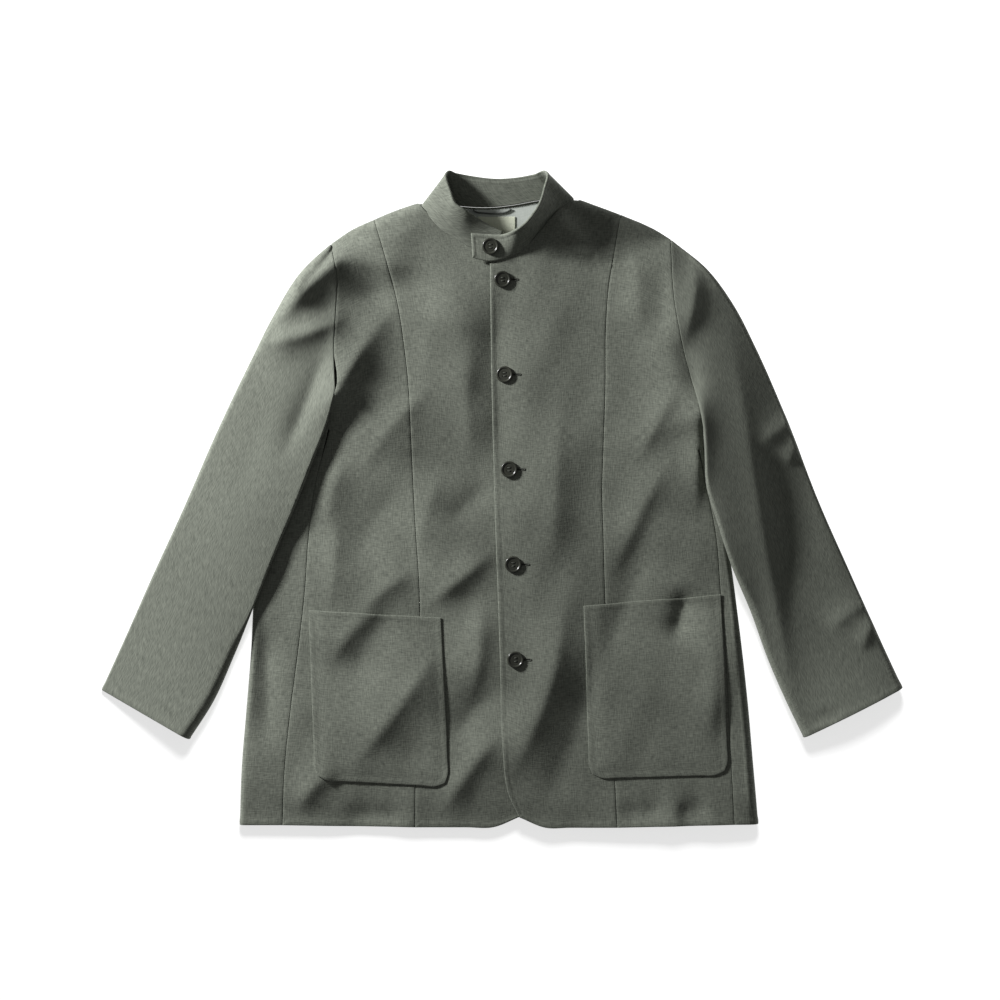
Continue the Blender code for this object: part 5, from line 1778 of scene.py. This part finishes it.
@dataclass
class Buttons:
    """Turned four-hole buttons, their thread and the holes that they go through."""

    body: Body
    collar: Collar
    radius: float = 10.0
    height: float = 3.0
    lift: float = 0.3
    first_y: float = 263.5
    pitch: float = 113.6
    insets: tuple[float, ...] = (14.5, 16.1, 18.5, 19.7, 18.5)
    tab: Plan = (0.05, 0.56)
    hole_radius: float = 0.95
    hole_spread: float = 2.0
    steps: int = 56
    slot_length: float = 22.0
    slot_width: float = 2.4
    slot_shift: float = 8.0
    slot_points: int = 64
    slot_squareness: float = 0.4
    slot_lift: float = 0.2
    # Size of the near-black tube of painted shade drawn in each buttonhole's slit
    slit_shade_inset: float = 0.8
    slit_shade_points: int = 24
    slit_shade_sink: float = 0.3
    slit_shade_radius: float = 0.6
    thread_radius: float = 0.55
    thread_sides: int = 8
    thread_points: int = 14
    # Height of a thread at its ends and its rise between them, as shares of the button's height
    thread_low: float = 0.45
    thread_rise: float = 0.32
    hole_count: int = 4
    drill_sides: int = 12
    merge_distance: float = 0.00001
    sharp_angle: float = 50.0
    tab_step: float = 0.01
    # From the middle of the back round to the middle of the face, as shares of radius and height
    profile: tuple[Plan, ...] = (
        (0.0, 0.0), (0.80, 0.0), (0.92, 0.08), (0.985, 0.24), (1.0, 0.44), (0.985, 0.68), (0.95, 0.88),
        (0.90, 0.98), (0.84, 1.0), (0.78, 0.95), (0.735, 0.82), (0.70, 0.70), (0.66, 0.66), (0.61, 0.70),
        (0.50, 0.69), (0.30, 0.64), (0.0, 0.62),
    )

    def tab_seat(self) -> ButtonSeat:
        """The first button's seat, on the collar's tab.

        Returns:
            The seat.
        """
        along, up = (np.array([value]) for value in self.tab)
        seat = self.collar.places(along, up)[0]
        across = self.collar.places(along + self.tab_step, up)[0] - seat
        normal = np.cross(across, self.collar.places(along, up + self.tab_step)[0] - seat)
        return ButtonSeat(seat, normal / np.linalg.norm(normal), COLLAR_CLOTH)

    def seats(self) -> list[ButtonSeat]:
        """One seat on the tab and the rest down the upper front.

        Returns:
            The seats, from the top down.
        """
        found = [self.tab_seat()]
        for i, inset in enumerate(self.insets):
            y = self.first_y - i * self.pitch
            plan = np.array([(self.body.edge_x(y) + inset, y)])
            base = self.body.moved_out(plan, 0.0)[0]
            normal = self.body.moved_out(plan, 1.0)[0] - base
            lifted = base + np.array((0.0, 0.0, self.body.lap_rise(plan)[0]))
            found.append(ButtonSeat(lifted, normal, CLOTH))
        return found

    def blank(self) -> bpy.types.Mesh:
        """One button at the origin: its profile turned round, less the drilled holes.

        Returns:
            Its mesh.
        """
        turned = bpy.data.meshes.new("button")
        points = [(r * self.radius * MM, 0.0, h * self.height * MM) for r, h in reversed(self.profile)]
        turned.from_pydata(points, [(i, i + 1) for i in range(len(points) - 1)], [])
        blank = new_object("button_blank", turned)
        screw = blank.modifiers.new("turned", "SCREW")
        screw.steps = screw.render_steps = self.steps
        screw.use_merge_vertices = True
        screw.merge_threshold = self.merge_distance
        drills = [self.drill(i) for i in range(self.hole_count)]
        for drill in drills:
            cut = blank.modifiers.new(drill.name, "BOOLEAN")
            cut.operation = "DIFFERENCE"
            cut.object = drill
        graph = bpy.context.evaluated_depsgraph_get()
        mesh = bpy.data.meshes.new_from_object(blank.evaluated_get(graph))
        mesh.shade_smooth()
        mesh.set_sharp_from_angle(angle=math.radians(self.sharp_angle))
        for helper in [blank] + drills:
            bpy.data.objects.remove(helper)
        return mesh

    def drill(self, i: int) -> bpy.types.Object:
        """A cutter for one thread hole, longer than the button is thick.

        Args:
            i: the number of the hole.

        Returns:
            The cutter.
        """
        sides = self.drill_sides
        turn = np.linspace(0.0, 2 * math.pi, sides, endpoint=False)
        ring = self.hole_place(i) + self.hole_radius * np.stack([np.cos(turn), np.sin(turn)], -1)
        levels = (-self.height, 2 * self.height)
        places = np.concatenate([raised(ring, np.full(sides, level)) for level in levels])
        index = np.arange(2 * sides).reshape(2, sides)
        caps = [index[0, ::-1].tolist(), index[1].tolist()]
        index = np.concatenate([index, index[:, :1]], axis=1)
        mesh = bpy.data.meshes.new(f"drill_{i}")
        mesh.from_pydata((places * MM).tolist(), [], quad_faces(index)[:, ::-1].tolist() + caps)
        return new_object(f"drill_{i}", mesh)

    def hole_place(self, i: int) -> np.ndarray:
        """Plan place of one thread hole on the button."""
        angle = math.pi / 4 + i * math.pi / 2
        return np.array((math.cos(angle), math.sin(angle))) * self.hole_spread * math.sqrt(2.0)

    def thread(self, name: str, first: np.ndarray, second: np.ndarray, place: Matrix) -> None:
        """A bar of thread over the face from one hole to another: the root of half a sine wave.

        Args:
            name: the bar's name.
            first, second: plan places of the two holes.
            place: where the button is.
        """
        share = np.linspace(0.0, 1.0, self.thread_points)[:, None]
        line = first + share * (second - first)
        level = self.height * (self.thread_low + self.thread_rise * np.sin(math.pi * share[:, 0]) ** 0.5)
        path = raised(line, level)
        turned = path @ np.array(place.to_3x3()).T + np.array(place.translation) / MM
        tube(name, turned, self.thread_radius, Finish.THREAD, sides=self.thread_sides)

    def buttonhole(self, name: str, seat: np.ndarray) -> None:
        """A worked buttonhole on the upper front: a thread ring round a slit of painted shade beside the
        button.

        Args:
            name: the buttonhole's name.
            seat: the button's place.
        """
        sides = self.thread_sides
        turn = np.linspace(0.0, 2 * math.pi, self.slot_points, endpoint=False)
        bulge = np.sign(np.sin(turn)) * np.abs(np.sin(turn)) ** self.slot_squareness
        ring = np.stack([0.5 * self.slot_length * np.cos(turn), 0.5 * self.slot_width * bulge], -1)
        middle = seat[:2] + np.array((self.slot_shift, 0.0))
        plan = ring + middle
        path = raised(plan, self.body.upper_height(plan) + CLOTH / 2 + self.slot_lift)
        tube(f"{name}_ring", path, self.thread_radius, Finish.THREAD, closed=True, sides=sides)
        # The slit is painted shade: a near-black tube sunk a little into the cloth
        reach = 0.5 * self.slot_length - self.slit_shade_inset
        across = np.linspace(-reach, reach, self.slit_shade_points)
        slit_shade = middle + np.stack([across, np.zeros_like(across)], -1)
        path = raised(slit_shade, self.body.upper_height(slit_shade) + CLOTH / 2 - self.slit_shade_sink)
        tube(f"{name}_slit", path, self.slit_shade_radius, Finish.SLIT_SHADE, sides=sides)

    def dress(self) -> None:
        """Puts a button, its thread and its buttonhole at every place."""
        blank = self.blank()
        for i, (seat, normal, wall) in enumerate(self.seats(), start=1):
            turn = Vector((0.0, 0.0, 1.0)).rotation_difference(Vector(normal)).to_matrix().to_4x4()
            place = Matrix.Translation(Vector(seat + normal * (wall / 2 + self.lift)) * MM) @ turn
            mesh = blank.copy()
            mesh.transform(place)
            piece = add_object(f"button_{i}_horn", mesh, Finish.HORN)
            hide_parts(f"button_{i}")
            holes = [self.hole_place(k) for k in range(self.hole_count)]
            self.thread(f"button_{i}_thread_upper", holes[1], holes[0], place)
            self.thread(f"button_{i}_thread_lower", holes[2], holes[3], place)
            if i > 1:
                self.buttonhole(f"buttonhole_{i}", seat)


@dataclass
class Studio:
    """A plain pale floor, a low lamp from the upper left, a weak fill and a camera straight above.

    The floor has a lamp of its own, beyond the collar, so that it stays white on all other sides.
    """

    floor_size: float = 8.0
    floor_drop: float = 0.2
    floor: PlainFinish = PlainFinish("floor_paper", (0.9, 0.9, 0.9), 0.9, glow=0.72)
    key_place: tuple[float, float, float] = (-1.49, 0.97, 0.61)
    key_size: float = 0.22
    key_power: float = 75.0
    floor_lamp_place: tuple[float, float, float] = (0.0, 2.0, 1.7)
    floor_lamp_size: float = 0.8
    floor_lamp_power: float = 60.0
    fill_strength: float = 0.14
    camera_height: float = 2.841
    camera_plan: tuple[float, float] = (-0.0012, -0.0003)
    lens: float = 85.0

    def add_floor(self) -> bpy.types.Object:
        """A large flat sheet just under the garment.

        Returns:
            The floor.
        """
        half = self.floor_size / 2
        mesh = bpy.data.meshes.new("floor")
        corners = [(-half, -half), (half, -half), (half, half), (-half, half)]
        mesh.from_pydata([(x, y, -self.floor_drop * MM) for x, y in corners], [], [(0, 1, 2, 3)])
        mesh.materials.append(self.floor.material())
        floor = new_object("floor", mesh)
        return floor

    def add_lamp(self, name: str, place: tuple, size: float, power: float) -> bpy.types.Object:
        """A square lamp that faces the garment.

        Args:
            name: the lamp's name.
            place: where it stands, in metres.
            size: its side, in metres.
            power: its power, in watts.

        Returns:
            The lamp.
        """
        data = bpy.data.lights.new(name, "AREA")
        data.size = size
        data.energy = power
        lamp = new_object(name, data)
        lamp.location = place
        lamp.rotation_euler = (-Vector(place)).to_track_quat("-Z", "Y").to_euler()
        return lamp

    def add_light(self, floor: bpy.types.Object) -> None:
        """The garment's lamp, the floor's lamp, and an even weak light from all round.

        Args:
            floor: the sheet that only its own lamp lights.
        """
        key = self.add_lamp("key", self.key_place, self.key_size, self.key_power)
        place, size, power = self.floor_lamp_place, self.floor_lamp_size, self.floor_lamp_power
        low = self.add_lamp("floor_lamp", place, size, power)
        for lamp, state in ((key, "EXCLUDE"), (low, "INCLUDE")):
            lit = bpy.data.collections.new(f"{lamp.name}_floor")
            lit.objects.link(floor)
            lit.collection_objects[0].light_linking.link_state = state
            lamp.light_linking.receiver_collection = lit
        world = bpy.data.worlds.new("studio")
        world.use_nodes = True
        sky = world.node_tree.nodes["Background"]
        sky.inputs["Color"].default_value = (1.0, 1.0, 1.0, 1.0)
        sky.inputs["Strength"].default_value = self.fill_strength
        bpy.context.scene.world = world
        bpy.context.scene.view_settings.view_transform = "Standard"

    def add_camera(self) -> None:
        """A camera that looks straight down, with the collar at the top of the picture."""
        data = bpy.data.cameras.new("camera")
        data.lens = self.lens
        camera = new_object("camera", data)
        camera.location = (*self.camera_plan, self.camera_height)
        bpy.context.scene.camera = camera

    def dress(self) -> None:
        """Sets up floor, light and camera."""
        self.add_light(self.add_floor())
        self.add_camera()


def main() -> None:
    """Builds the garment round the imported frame, then the studio."""
    logging.basicConfig(level=logging.INFO, format="%(message)s")
    for old in list(bpy.data.objects):
        bpy.data.objects.remove(old)
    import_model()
    Studio().dress()
    body = Body()
    body.dress()
    for side in SIDES:
        Sleeve(side, body).dress()
        Pocket(side, body).dress()
    collar = Collar()
    collar.dress()
    NeckInside().dress()
    Buttons(body, collar).dress()


if __name__ == "__main__":
    main()
